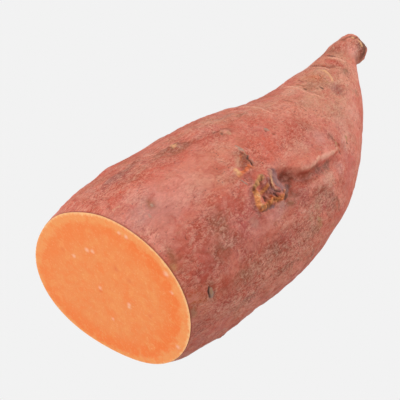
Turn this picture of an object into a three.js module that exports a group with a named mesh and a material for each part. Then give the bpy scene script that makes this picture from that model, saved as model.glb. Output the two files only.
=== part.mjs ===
/*
 * A sweet potato that has been cut across near its thickest place. The root lies on its belly:
 * the flat cut face is at one end, and at the other the body narrows into a neck that rises and
 * turns to the side, and ends in a short broken nub.
 *
 * Millimetres, +Z up, +X along the root from the cut face to the nub, +Y to the side that the
 * neck turns to. The origin is at the bottom of the root, under the middle of its box.
 *
 * A place on the skin is given by two values: along, in millimetres from the cut face, and
 * around, in degrees: 0 faces +Y, 90 is the top, 180 faces -Y and 270 is the belly.
 */
import * as THREE from 'three';
import { mergeVertices } from 'three/addons/utils/BufferGeometryUtils.js';

const { clamp, degToRad, lerp, radToDeg, smoothstep } = THREE.MathUtils;

// Sections across the root: how far each lies to +Y, how high, and its half width and height.
const SECTIONS = [
  { along: 0, side: 1.3, rise: 30.8, halfWidth: 32.8, halfHeight: 32.8 },
  { along: 17, side: 0.8, rise: 30.8, halfWidth: 35.8, halfHeight: 35.1 },
  { along: 35, side: 0.2, rise: 30.3, halfWidth: 36.0, halfHeight: 34.2 },
  { along: 55.5, side: -0.5, rise: 29.4, halfWidth: 35.7, halfHeight: 34.0 },
  { along: 76, side: -0.8, rise: 29.1, halfWidth: 33.2, halfHeight: 32.3 },
  { along: 96, side: 0.2, rise: 30.5, halfWidth: 28.0, halfHeight: 27.9 },
  { along: 113, side: 3.5, rise: 34.1, halfWidth: 22.1, halfHeight: 22.1 },
  { along: 129.5, side: 8.0, rise: 40.0, halfWidth: 15.0, halfHeight: 14.9 },
  { along: 138, side: 11.0, rise: 43.6, halfWidth: 10.3, halfHeight: 10.3 },
  { along: 145.5, side: 13.4, rise: 46.6, halfWidth: 6.6, halfHeight: 6.5 },
  { along: 154, side: 13.8, rise: 47.3, halfWidth: 6.5, halfHeight: 6.3 },
];
const LENGTH = SECTIONS.at(-1).along;
const WIDEST = Math.max(...SECTIONS.map((section) => section.halfWidth));

// How the cut outline departs from a circle, by the number of its lobes, and where that ends.
const CUT_OUTLINE = [
  { lobes: 2, cosine: 1.1, sine: -1.65 },
  { lobes: 3, cosine: 0.1, sine: -0.7 },
  { lobes: 4, cosine: -0.35, sine: -0.35 },
];
const CUT_OUTLINE_FADE = 40;
const CUT_SLOPE = -0.1; // the cut face is turned a little from square: along per millimetre of +Y
const CUT_SLOPE_FADE = 46;
const SHOULDER = { along: 7, spread: 6, height: 0.7 }; // the skin swells just behind the cut

// The belly is pressed flat where the root rests.
const BELLY_LIFT = 3.4; // raises the sections so that only the lowest strip reaches the surface
const BELLY_SOFTNESS = 0.4; // height over which the curve of the belly runs into the flat

// Facets: more of them near the scars and on the neck, where the relief is fine.
const FACETS_AROUND = 72;
const DENSEST_AROUND = 128;
const CROWDING = 0.45;
const TWIST = 0.5; // degrees per millimetre: the lines of facets lean as the crease does
const TWIST_MIDDLE = 62;
const STRETCHES = [
  { to: 18, rings: 8 },
  { to: 42, rings: 7 },
  { to: 66, rings: 17 },
  { to: 100, rings: 16 },
  { to: 148, rings: 24 },
  { to: LENGTH, rings: 4 },
];

// Slow waves of the skin all round the root.
const WAVES = [
  { height: 0.3, around: 3, along: 0.05, start: 1.0 },
  { height: 0.22, around: 5, along: -0.09, start: 2.1 },
  { height: 0.2, around: 2, along: 0.13, start: 4.0 },
  { height: 0.12, around: 9, along: 0.06, start: 0.4 },
];
const FAR_SIDE = { around: 310, spread: 75, gain: 2.2 }; // the waves are deeper on this side

// Bumps, and hollows with a negative height: at [along, around], size [length, width], and the turn
// of the length from the root's own line.
const BUMPS = [
  { name: 'deep hollow beside the scar', at: [61.8, 129], size: [3.6, 3.0], turn: 0, height: -2.3 },
  { name: 'bowl of the scar', at: [52, 131.5], size: [4.6, 4.2], turn: 0, height: -1.3 },
  { name: 'flap of the scar', at: [57.2, 131.5], size: [2.6, 2.2], turn: 20, height: 0.9 },
  { name: 'set-back side under the crease', at: [80, 153], size: [20, 9], turn: 12, height: -0.9 },
  { name: 'cheek under the crease', at: [83, 152], size: [4, 3.4], turn: 0, height: 0.7 },
  { name: 'swelling above the crease', at: [78, 122], size: [15, 9], turn: 8, height: 0.6 },
  { name: 'hollow of the neck', at: [122.5, 118], size: [4.2, 3.2], turn: 0, height: -1.0 },
  { name: 'bud on the top', at: [39.5, 73], size: [2.6, 1.9], turn: 20, height: 0.8 },
  { name: 'groove behind the bud', at: [39, 78], size: [7, 2], turn: 8, height: -0.7 },
  { name: 'oval root scar', at: [58.6, 87], size: [2.8, 2], turn: 0, height: 0.7 },
  { name: 'pit of the oval root scar', at: [55.6, 83], size: [1.9, 1.9], turn: 0, height: -1.0 },
  { name: 'root scar by the cut', at: [11.5, 104], size: [2.2, 2.6], turn: 0, height: -0.7 },
  { name: 'upright root scar', at: [9.6, 161], size: [1.7, 3.2], turn: 0, height: 0.6 },
  { name: 'pit of the upright root scar', at: [7, 160], size: [1.4, 3.2], turn: 0, height: -0.8 },
  { name: 'bud scar on the shoulder', at: [72.2, 103], size: [2.2, 2.4], turn: 0, height: -0.6 },
  { name: 'dent on the top near the cut', at: [20, 70], size: [12, 4], turn: 0, height: -0.5 },
  { name: 'step of the far top', at: [48, 50], size: [7, 8], turn: 0, height: 0.5 },
  { name: 'lengthwise hollow of the near side', at: [46, 160], size: [26, 5], turn: 6, height: -0.6 },
  { name: 'small root scar of the neck', at: [133.5, 120], size: [1.4, 1.6], turn: 0, height: -0.5 },
  { name: 'far hollow', at: [62, 8], size: [22, 7], turn: -10, height: -1.1 },
  { name: 'far swelling', at: [90, 340], size: [12, 9], turn: 0, height: 1.0 },
  { name: 'low hollow of the near side', at: [98, 215], size: [12, 7], turn: 15, height: -1.0 },
  { name: 'root scar of the far side', at: [34, 352], size: [3.6, 3.6], turn: 0, height: -1.2 },
  { name: 'throat of the neck', at: [121, 262], size: [8, 9], turn: 0, height: -0.9 },
];

// Ridges and grooves: routes of places on the skin, each [along, around, height], with the height
// negative in a groove. Width is the distance from the route at which it has mostly died away.
const RIDGES = [
  { name: 'crest of the crease', width: 2.5,
    route: [[63, 123, 0.6], [68, 129, 0.9], [74, 132.5, 1], [84, 134.5, 1.1], [92, 138.5, 0.9],
      [98, 142, 0.4]] },
  { name: 'valley of the crease', width: 2.4,
    route: [[63, 131, -1.9], [68, 136, -1.7], [74, 140, -1.8], [82, 141.5, -1.5], [90, 145, -0.9],
      [98, 149, -0.3]] },
  { name: 'left rim of the scar', width: 1.2,
    route: [[53, 123.5, 0.7], [48.5, 124.5, 1.3], [47.5, 130, 1.4], [45.5, 137, 0.9]] },
  { name: 'lower rim of the scar', width: 1.2,
    route: [[46.5, 137, 1.0], [50, 139, 1.2], [54, 138, 1.3], [57.5, 136, 1.0]] },
  { name: 'inner ridge of the scar', width: 0.9,
    route: [[54.5, 126, 0.9], [51, 130, 0.8], [50.5, 134, 0.5]] },
  { name: 'ridge beside the flap', width: 1.0,
    route: [[57.5, 125.5, 0.9], [56, 131, 1.2], [56.5, 134, 0.9]] },
  { name: 'shade under the scar', width: 1.4,
    route: [[46.5, 141, -0.5], [51, 142.5, -0.9], [57, 140.5, -0.9], [60.5, 135.5, -0.6]] },
  { name: 'strip of the upper scar', width: 1.0,
    route: [[55.5, 99.5, 0.5], [56, 104, 0.4], [53.5, 108, 0.6], [55, 112, 0.5]] },
  { name: 'groove of the upper scar', width: 1.0,
    route: [[57.5, 104, -0.4], [56.5, 110, -0.8], [57.5, 114, -0.5]] },
  { name: 'stroke between the scars', width: 1.1,
    route: [[45.8, 113.5, 0.6], [46.5, 117, 0.5], [53, 115, 0.6]] },
  { name: 'curved fold of the top', width: 1.3,
    route: [[43, 99, -0.2], [45.5, 101.5, -0.6], [46, 104.5, -0.3]] },
];

// Folds that ring the neck: a lip on the body's side and a groove on the nub's side.
const FOLDS = [
  { along: 85, lean: 4, facing: 78, spread: 26, depth: 0.5 },
  { along: 101.5, lean: 2, facing: 90, spread: 24, depth: 0.6 },
  { along: 113.5, lean: 3, facing: 80, spread: 46, depth: 0.9 },
  { along: 120, lean: -3, facing: 70, spread: 30, depth: 0.5 },
  { along: 128, lean: 4, facing: 92, spread: 40, depth: 0.7 },
  { along: 132.5, lean: -2, facing: 75, spread: 30, depth: 0.5 },
  { along: 140.5, lean: 1, facing: 85, spread: 60, depth: 0.6 },
  { along: 104, lean: 4, facing: 300, spread: 50, depth: 0.7 },
  { along: 118, lean: -3, facing: 260, spread: 60, depth: 0.8 },
  { along: 130, lean: 2, facing: 330, spread: 60, depth: 0.7 },
  { along: 139, lean: -1, facing: 240, spread: 60, depth: 0.6 },
];
const FOLD_WIDTH = 1.5;
const FOLD_LIP_SHARE = 0.6; // height of the lip for each millimetre of the groove's depth
const FOLD_GROOVE_SHIFT = 2.3; // from the lip to the groove

// The broken end of the nub.
const BREAK = { crown: 0.8, slant: 0.7, slantFacing: 150, ragged: 0.35, teeth: 5 };
const BREAK_RINGS = [0, 0.6, 0.93];

const RELIEF_START = 5; // the relief grows from nothing over this distance behind the cut face
const TANGENT_STEP = 0.5;
const SINGLE_PRECISION = 1e-3; // a geometry's own numbers are only this near to exact ones
const UP = new THREE.Vector3(0, 0, 1);

const sectionCurve = new THREE.CubicInterpolant(
  SECTIONS.map((section) => section.along),
  SECTIONS.flatMap(({ side, rise, halfWidth, halfHeight }) => [side, rise, halfWidth, halfHeight]),
  4,
);

/** The section at a distance along the root. */
function sectionAt(along) {
  const [side, rise, halfWidth, halfHeight] = sectionCurve.evaluate(along);
  return { centre: new THREE.Vector3(along, side, rise), halfWidth, halfHeight };
}

/** The section with its own directions: forward along the root, sideways and upwards across it. */
function frameAt(along) {
  const ahead = sectionAt(clamp(along + TANGENT_STEP, 0, LENGTH)).centre;
  const behind = sectionAt(clamp(along - TANGENT_STEP, 0, LENGTH)).centre;
  const forward = ahead.sub(behind).normalize();
  const sideways = new THREE.Vector3().crossVectors(UP, forward).normalize();
  const upwards = new THREE.Vector3().crossVectors(forward, sideways);
  return { ...sectionAt(along), forward, sideways, upwards };
}

/** Signed degrees from one direction around the root to another, -180 to 180. */
function turnBetween(from, to) {
  return THREE.MathUtils.euclideanModulo(to - from + 180, 360) - 180;
}

/** A round hill: 1 at its middle, falling away over the given size. */
function hill(distance, size) {
  return Math.exp(-((distance / size) ** 2));
}

/** Where a point at a turn and a distance along lies from a place, in millimetres of unrolled skin. */
function unrolled(along, turned, place, radius) {
  return new THREE.Vector2(along - place.along, degToRad(turned) * radius);
}

/** Height of a bump or hollow at a place on the skin. */
function bumpHeight(bump, place, radius) {
  const [along, around] = bump.at;
  const away = unrolled(along, turnBetween(place.around, around), place, radius);
  away.rotateAround(new THREE.Vector2(), -degToRad(bump.turn));
  return bump.height * hill(away.x, bump.size[0]) * hill(away.y, bump.size[1]);
}

/** Height of a ridge or groove at a place on the skin: that of the nearest point of its route. */
function ridgeHeight(ridge, place, radius) {
  const start = ridge.route[0][1];
  const turned = turnBetween(place.around, start);
  const corners = ridge.route.map(([along, around]) => (
    unrolled(along, turned + around - start, place, radius)));
  let nearest = Infinity;
  let height = 0;
  for (let i = 1; i < corners.length; i++) {
    const step = new THREE.Vector2().subVectors(corners[i], corners[i - 1]);
    const share = clamp(-corners[i - 1].dot(step) / step.lengthSq(), 0, 1);
    const distance = corners[i - 1].clone().addScaledVector(step, share).length();
    if (distance >= nearest) continue;
    nearest = distance;
    height = lerp(ridge.route[i - 1][2], ridge.route[i][2], share);
  }
  return height * hill(nearest, ridge.width);
}

/** Height of a neck fold at a place on the skin. */
function foldHeight(fold, place) {
  const turned = turnBetween(fold.facing, place.around);
  const line = fold.along - fold.lean * Math.sin(degToRad(turned));
  const lip = FOLD_LIP_SHARE * hill(place.along - line, FOLD_WIDTH);
  const groove = hill(place.along - line - FOLD_GROOVE_SHIFT, FOLD_WIDTH);
  return fold.depth * hill(turned, fold.spread) * (lip - groove);
}

/** Slow unevenness of the skin, stronger on the far side and weaker where the root is thin. */
function waveHeight(place, radius) {
  const farSide = hill(turnBetween(FAR_SIDE.around, place.around), FAR_SIDE.spread);
  const sum = WAVES.reduce((total, { height, around, along, start }) => (
    total + height * Math.sin(around * degToRad(place.around) + along * place.along + start)), 0);
  return sum * lerp(1, FAR_SIDE.gain, farSide) * (radius / WIDEST);
}

/** How far the skin stands out from the plain section at a place. */
function reliefAt(place, radius) {
  const sum = waveHeight(place, radius)
    + BUMPS.reduce((total, bump) => total + bumpHeight(bump, place, radius), 0)
    + RIDGES.reduce((total, ridge) => total + ridgeHeight(ridge, place, radius), 0)
    + FOLDS.reduce((total, fold) => total + foldHeight(fold, place), 0);
  const swelling = SHOULDER.height * hill(place.along - SHOULDER.along, SHOULDER.spread);
  return (sum + swelling) * smoothstep(place.along, 0, RELIEF_START);
}

/** How far the outline near the cut departs from the plain section. */
function cutOutlineAt(place) {
  const angle = degToRad(place.around);
  const sum = CUT_OUTLINE.reduce((total, { lobes, cosine, sine }) => (
    total + cosine * Math.cos(lobes * angle) + sine * Math.sin(lobes * angle)), 0);
  return sum * (1 - smoothstep(place.along, 0, CUT_OUTLINE_FADE));
}

/** Where the belly's curve meets the surface it rests on: never below zero, with no sharp edge. */
function pressed(height) {
  if (height > BELLY_SOFTNESS) return height;
  return Math.max(height + BELLY_SOFTNESS, 0) ** 2 / (4 * BELLY_SOFTNESS);
}

/** The point at a place, at a share of the way from the root's middle line to its skin. */
function pointAt(place, share) {
  const frame = frameAt(place.along);
  const angle = degToRad(place.around);
  const extra = cutOutlineAt(place) + reliefAt(place, Math.min(frame.halfWidth, frame.halfHeight));
  const across = (frame.halfWidth + extra) * Math.cos(angle) * share;
  const upward = (frame.halfHeight + extra) * Math.sin(angle) * share;
  const point = frame.centre.clone()
    .addScaledVector(frame.sideways, across)
    .addScaledVector(frame.upwards, upward);
  const onCutSlope = place.along + CUT_SLOPE * (point.y - SECTIONS[0].side);
  point.x = lerp(onCutSlope, point.x, smoothstep(place.along, 0, CUT_SLOPE_FADE));
  if (place.along === LENGTH) {
    const slant = BREAK.slant * Math.cos(angle - degToRad(BREAK.slantFacing));
    const rough = BREAK.ragged * Math.sin(BREAK.teeth * angle);
    point.addScaledVector(frame.forward, BREAK.crown * (1 - share ** 2) + (slant + rough) * share);
  }
  point.z = pressed(point.z + BELLY_LIFT);
  return point;
}

/** Distances along the root of the rings of facets. */
function ringPlaces() {
  const places = [0];
  for (const { to, rings } of STRETCHES) {
    const from = places.at(-1);
    for (let i = 1; i <= rings; i++) places.push(i === rings ? to : lerp(from, to, i / rings));
  }
  return places;
}

/** The whole root: a turned blank whose points are moved to their places on the root. */
function rootGeometry() {
  const rings = ringPlaces();
  const profile = [
    ...BREAK_RINGS.map((share) => new THREE.Vector2(share, LENGTH)),
    ...rings.toReversed().map((along) => new THREE.Vector2(1, along)),
    new THREE.Vector2(0, 0),
  ];
  const blank = new THREE.LatheGeometry(profile, FACETS_AROUND);
  blank.deleteAttribute('normal');
  blank.deleteAttribute('uv');
  const geometry = mergeVertices(blank);
  const points = geometry.getAttribute('position');
  const blankPoint = new THREE.Vector3();
  for (let i = 0; i < points.count; i++) {
    blankPoint.fromBufferAttribute(points, i);
    const share = Math.hypot(blankPoint.x, blankPoint.z);
    const along = rings.find((place) => Math.abs(place - blankPoint.y) < SINGLE_PRECISION);
    const even = radToDeg(Math.atan2(blankPoint.z, blankPoint.x));
    const crowded = even - radToDeg(CROWDING * Math.sin(degToRad(even - DENSEST_AROUND)));
    const around = crowded + TWIST * (along - TWIST_MIDDLE);
    const point = pointAt({ along, around }, share < SINGLE_PRECISION ? 0 : share);
    points.setXYZ(i, point.x, point.y, point.z);
  }
  geometry.computeVertexNormals();
  return geometry;
}

const skinMaterial = new THREE.MeshStandardMaterial({ color: 0xbd6455, roughness: 0.6, metalness: 0 });
const root = new THREE.Mesh(rootGeometry(), skinMaterial);
root.name = 'sweet_potato';

const object = new THREE.Group();
object.add(root);
root.geometry.computeBoundingBox();
const box = root.geometry.boundingBox;
const middle = box.getCenter(new THREE.Vector3());
root.position.set(-middle.x, -middle.y, -box.min.z);

export default object;
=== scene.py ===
"""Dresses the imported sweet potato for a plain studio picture.

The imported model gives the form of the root. This script copies it, smooths it, carves the fine
relief of the skin into the copy, and gives it a skin and a cut face of flesh. A place that the
photograph shows is named by its pixel there, and is found on the root by looking through the
camera. A place that it hides is named by how far along and how far around the root it lies.

Sizes are in millimetres unless a name says otherwise. Blender's own unit is the metre.
"""

from __future__ import annotations

import logging
import math
import random
from dataclasses import dataclass, field
from enum import Enum

import bmesh
import bpy
import numpy as np
from mathutils import Matrix, Vector, noise
from mathutils.bvhtree import BVHTree

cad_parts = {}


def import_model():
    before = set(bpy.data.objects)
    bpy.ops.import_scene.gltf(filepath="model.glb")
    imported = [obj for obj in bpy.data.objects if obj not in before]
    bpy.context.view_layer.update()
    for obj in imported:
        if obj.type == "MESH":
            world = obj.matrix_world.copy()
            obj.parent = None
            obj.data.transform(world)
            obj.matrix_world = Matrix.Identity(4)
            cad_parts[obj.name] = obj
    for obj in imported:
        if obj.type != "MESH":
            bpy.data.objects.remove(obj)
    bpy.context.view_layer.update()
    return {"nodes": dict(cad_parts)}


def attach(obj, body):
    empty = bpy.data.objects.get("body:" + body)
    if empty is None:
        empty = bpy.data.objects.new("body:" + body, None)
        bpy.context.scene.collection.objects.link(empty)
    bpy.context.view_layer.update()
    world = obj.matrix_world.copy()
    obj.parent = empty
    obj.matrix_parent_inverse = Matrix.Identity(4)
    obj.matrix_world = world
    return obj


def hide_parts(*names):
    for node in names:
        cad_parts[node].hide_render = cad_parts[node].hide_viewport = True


log = logging.getLogger("sweet_potato")

MM = 0.001
NODE = "sweet_potato"
BODY = "root"

Colour = tuple[float, float, float]


def shade(red: int, green: int, blue: int) -> Colour:
    """Turns a colour on the 0 to 255 scale of a picture into light values."""
    return tuple(linear(part / 255) for part in (red, green, blue))


def linear(part: float) -> float:
    """Undoes the picture's tone curve for one part of a colour."""
    return part / 12.92 if part <= 0.04045 else ((part + 0.055) / 1.055) ** 2.4


def hill(distance: np.ndarray, size: float) -> np.ndarray:
    """A round hill: 1 where the distance is 0, falling away over the size."""
    return np.exp(-((distance / size) ** 2))


def ease(values: np.ndarray, low: float, high: float) -> np.ndarray:
    """Runs smoothly from 0 at the low value to 1 at the high one."""
    share = np.clip((values - low) / (high - low), 0, 1)
    return share * share * (3 - 2 * share)


class Tint(Enum):
    """Colours that the skin and its marks show."""

    PINK = shade(222, 143, 130)
    DUSTY_PINK = shade(205, 132, 122)
    SALMON = shade(214, 128, 108)
    CORAL = shade(208, 98, 78)
    RED = shade(186, 78, 60)
    CRIMSON = shade(180, 76, 70)
    MAUVE = shade(160, 94, 88)
    BROWN = shade(150, 78, 58)
    OLIVE = shade(160, 98, 72)
    DUSK = shade(132, 72, 56)
    LILAC = shade(182, 134, 130)
    SLATE = shade(146, 106, 108)
    BLUSH = shade(232, 170, 148)
    TAN = shade(208, 152, 126)
    STRAW = shade(190, 142, 98)
    OCHRE = shade(204, 131, 80)
    CREAM = shade(236, 184, 136)
    ORANGE = shade(210, 112, 72)
    RUST = shade(190, 102, 62)
    BARK = shade(122, 76, 58)
    GREY = shade(178, 148, 134)
    DARK = shade(84, 56, 46)


class Layer(Enum):
    """A mask on the skin that a material reads, named as its mesh attribute is."""

    STREAKY = "streaky_skin"
    CALM = "calm_skin"
    CORK = "rough_cork"


@dataclass(frozen=True)
class Pixel:
    """A place that the photograph shows, in pixels from its top left corner."""

    right: float
    down: float


@dataclass(frozen=True)
class Place:
    """A place on the skin: along from the cut face, and around in degrees (0 is +Y, 90 the top)."""

    along: float
    around: float


Spot = Pixel | Place


@dataclass(frozen=True)
class Patch:
    """A soft-edged stretch of skin with a tint of its own.

    Size is the half length and half width, and turn is in degrees from the root's own line.
    """

    tint: Tint | Layer | None
    at: Spot
    size: tuple[float, float]
    turn: float = 0.0
    amount: float = 1.0
    height: float = 0.0


@dataclass(frozen=True)
class Stroke:
    """A line on the skin: a ridge, or with a negative height a groove."""

    tint: Tint | Layer | None
    route: tuple[Spot, ...]
    width: float
    height: float = 0.0
    amount: float = 1.0
    soft: bool = False


@dataclass(frozen=True)
class FineArea:
    """A round stretch of skin whose mesh is finer than the rest."""

    at: Spot
    radius: float


@dataclass(frozen=True)
class Eye:
    """A scar where a side root broke off: a lens of cork in a low lip, with a pit at one end.

    Size is its half length and half width, and the lengths of its parts are shares of that.
    """

    at: Spot
    size: tuple[float, float]
    turn: float = 0.0
    lip: float = 0.3
    pit: float = 0.5
    fill: Tint = Tint.TAN
    lip_radius: float = 1.1
    lip_width: float = 0.35
    pit_offset: float = 0.75
    pit_size: float = 0.55
    pit_darkness: float = 0.6
    cork_offset: float = 0.2
    cork_size: float = 0.8
    cork_height: float = 0.8
    cork_amount: float = 0.75
    halo_size: float = 2.0
    halo_amount: float = 0.8


def pixels(*pairs: tuple[float, float]) -> tuple[Pixel, ...]:
    """A route of places that the photograph shows."""
    return tuple(Pixel(*pair) for pair in pairs)


def places(*pairs: tuple[float, float]) -> tuple[Place, ...]:
    """A route of places that are named by how far along and around they lie."""
    return tuple(Place(*pair) for pair in pairs)


def ring(along: float, start: int, end: int, step: int = 20) -> tuple[Place, ...]:
    """A route around the root at one distance along it."""
    return tuple(Place(along, around) for around in range(start, end + 1, step))


@dataclass(frozen=True)
class PhotoCamera:
    """The camera at the photograph's angle, worked out from the root's outline."""

    image_size: float = 400.0
    lens: float = 110.0
    sensor: float = 36.0
    looks_down_degrees: float = 40.0
    heading_degrees: float = 41.5
    aim: tuple[float, float, float] = (-75.884, -0.812, 35.908)
    aim_pixel: Pixel = Pixel(113.0, 287)
    aim_depth: float = 412.8
    near_limit_metres: float = 0.01
    far_limit_metres: float = 50.0

    @property
    def forward(self) -> Vector:
        """The way the camera looks."""
        down = math.radians(self.looks_down_degrees)
        heading = math.radians(self.heading_degrees)
        level = math.cos(down)
        return Vector((level * math.cos(heading), level * math.sin(heading), -math.sin(down)))

    @property
    def rightward(self) -> Vector:
        """The picture's own rightward direction."""
        heading = math.radians(self.heading_degrees)
        return Vector((math.sin(heading), -math.cos(heading), 0))

    @property
    def upward(self) -> Vector:
        """The picture's own upward direction."""
        return self.rightward.cross(self.forward)

    @property
    def pixels_per_slope(self) -> float:
        """Pixels from the middle of the picture for a sideways slope of 1."""
        return self.lens / self.sensor * self.image_size

    @property
    def position(self) -> Vector:
        """Where the camera stands, so that the aim falls on its pixel."""
        return Vector(self.aim) - self.ray(self.aim_pixel) * self.aim_depth

    def ray(self, pixel: Pixel) -> Vector:
        """The direction of a pixel, one unit deep.

        Args:
            pixel: a place in the picture.

        Returns:
            The direction, whose part along the view is 1.
        """
        half = self.image_size / 2
        across = (pixel.right - half) / self.pixels_per_slope
        up = (half - pixel.down) / self.pixels_per_slope
        return self.forward + self.rightward * across + self.upward * up

    def build(self) -> bpy.types.Object:
        """Makes the camera and hands it to the scene.

        Returns:
            The camera object.
        """
        data = bpy.data.cameras.new("photo_camera")
        data.lens = self.lens
        data.sensor_width = self.sensor
        data.sensor_fit = "HORIZONTAL"
        data.clip_start = self.near_limit_metres
        data.clip_end = self.far_limit_metres
        camera = bpy.data.objects.new("photo_camera", data)
        turn = Matrix((self.rightward, self.upward, -self.forward)).transposed().to_4x4()
        camera.matrix_world = Matrix.Translation(self.position * MM) @ turn
        bpy.context.scene.collection.objects.link(camera)
        bpy.context.scene.camera = camera
        return camera


@dataclass(frozen=True)
class MiddleLine:
    """The line that the root grew along, from the middle of the cut face to the broken end."""

    cut_x: float = -75.9
    length: float = 154.0
    along: tuple[float, ...] = (0, 17, 35, 55.5, 76, 96, 113, 129.5, 138, 145.5, 154)
    side: tuple[float, ...] = (0.5, 0, -0.6, -1.3, -1.6, -0.6, 2.7, 7.2, 10.2, 12.6, 13)
    rise: tuple[float, ...] = (34.2, 34.2, 33.7, 32.8, 32.5, 33.9, 37.5, 43.4, 47, 50, 50.7)
    smoothness: int = 7
    rounds: int = 8

    def frame_at(self, along: np.ndarray) -> tuple[np.ndarray, ...]:
        """The line's points and its own directions.

        Args:
            along: distances from the cut face.

        Returns:
            Points, then the forward, sideways and upwards directions, each with three columns.
        """
        side = np.polynomial.Polynomial.fit(self.along, self.side, self.smoothness)
        rise = np.polynomial.Polynomial.fit(self.along, self.rise, self.smoothness)
        points = np.stack([self.cut_x + along, side(along), rise(along)], axis=-1)
        slope = np.stack([np.ones_like(along), side.deriv()(along), rise.deriv()(along)], axis=-1)
        forward = slope / np.linalg.norm(slope, axis=-1, keepdims=True)
        sideways = np.cross(np.array([0.0, 0.0, 1.0]), forward)
        sideways /= np.linalg.norm(sideways, axis=-1, keepdims=True)
        return points, forward, sideways, np.cross(forward, sideways)

    def locate(self, points: np.ndarray) -> tuple[np.ndarray, np.ndarray, np.ndarray]:
        """Finds how far along and around the root points lie.

        Args:
            points: three columns.

        Returns:
            Distances along, turns around in radians, and distances from the line.
        """
        along = np.clip(points[:, 0] - self.cut_x, 0, self.length)
        for _ in range(self.rounds):
            line, forward, _, _ = self.frame_at(along)
            along = np.clip(along + np.sum((points - line) * forward, axis=1), 0, self.length)
        line, _, sideways, upwards = self.frame_at(along)
        away = points - line
        across = np.sum(away * sideways, axis=1)
        up = np.sum(away * upwards, axis=1)
        return along, np.arctan2(up, across), np.hypot(across, up)

    def outward(self, place: Place) -> tuple[Vector, Vector]:
        """The point of the line under a place, and the direction from it to the place.

        Args:
            place: a place on the skin.

        Returns:
            The point and the direction.
        """
        line, _, sideways, upwards = self.frame_at(np.array([float(place.along)]))
        angle = math.radians(place.around)
        direction = math.cos(angle) * sideways[0] + math.sin(angle) * upwards[0]
        return Vector(line[0]), Vector(direction)


class Tap:
    """An output of a shader node. Arithmetic on it adds Math nodes."""

    def __init__(self, board: Board, socket: bpy.types.NodeSocket) -> None:
        """Keeps the output and the board that it is on."""
        self.board = board
        self.socket = socket

    def maths(self, operation: str, *values: Tap | float) -> Tap:
        """Adds a Math node with that operation."""
        inputs = dict(enumerate(values))
        return self.board.node("ShaderNodeMath", {"operation": operation}, inputs)

    def __add__(self, other: Tap | float) -> Tap:
        """Sum."""
        return self.maths("ADD", self, other)

    def __radd__(self, other: float) -> Tap:
        """Sum with a number in front."""
        return self.maths("ADD", other, self)

    def __sub__(self, other: Tap | float) -> Tap:
        """Difference."""
        return self.maths("SUBTRACT", self, other)

    def __rsub__(self, other: float) -> Tap:
        """Difference from a number."""
        return self.maths("SUBTRACT", other, self)

    def __mul__(self, other: Tap | float) -> Tap:
        """Product."""
        return self.maths("MULTIPLY", self, other)

    def __rmul__(self, other: float) -> Tap:
        """Product with a number in front."""
        return self.maths("MULTIPLY", other, self)

    def most(self, other: Tap | float) -> Tap:
        """The larger of the two."""
        return self.maths("MAXIMUM", self, other)

    def size(self) -> Tap:
        """The value without its sign."""
        return self.maths("ABSOLUTE", self)

    def eased(self, low: float, high: float) -> Tap:
        """Runs smoothly from 0 at the low value to 1 at the high one."""
        settings = {"interpolation_type": "SMOOTHSTEP"}
        inputs = {"Value": self, "From Min": low, "From Max": high}
        return self.board.node("ShaderNodeMapRange", settings, inputs)


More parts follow.
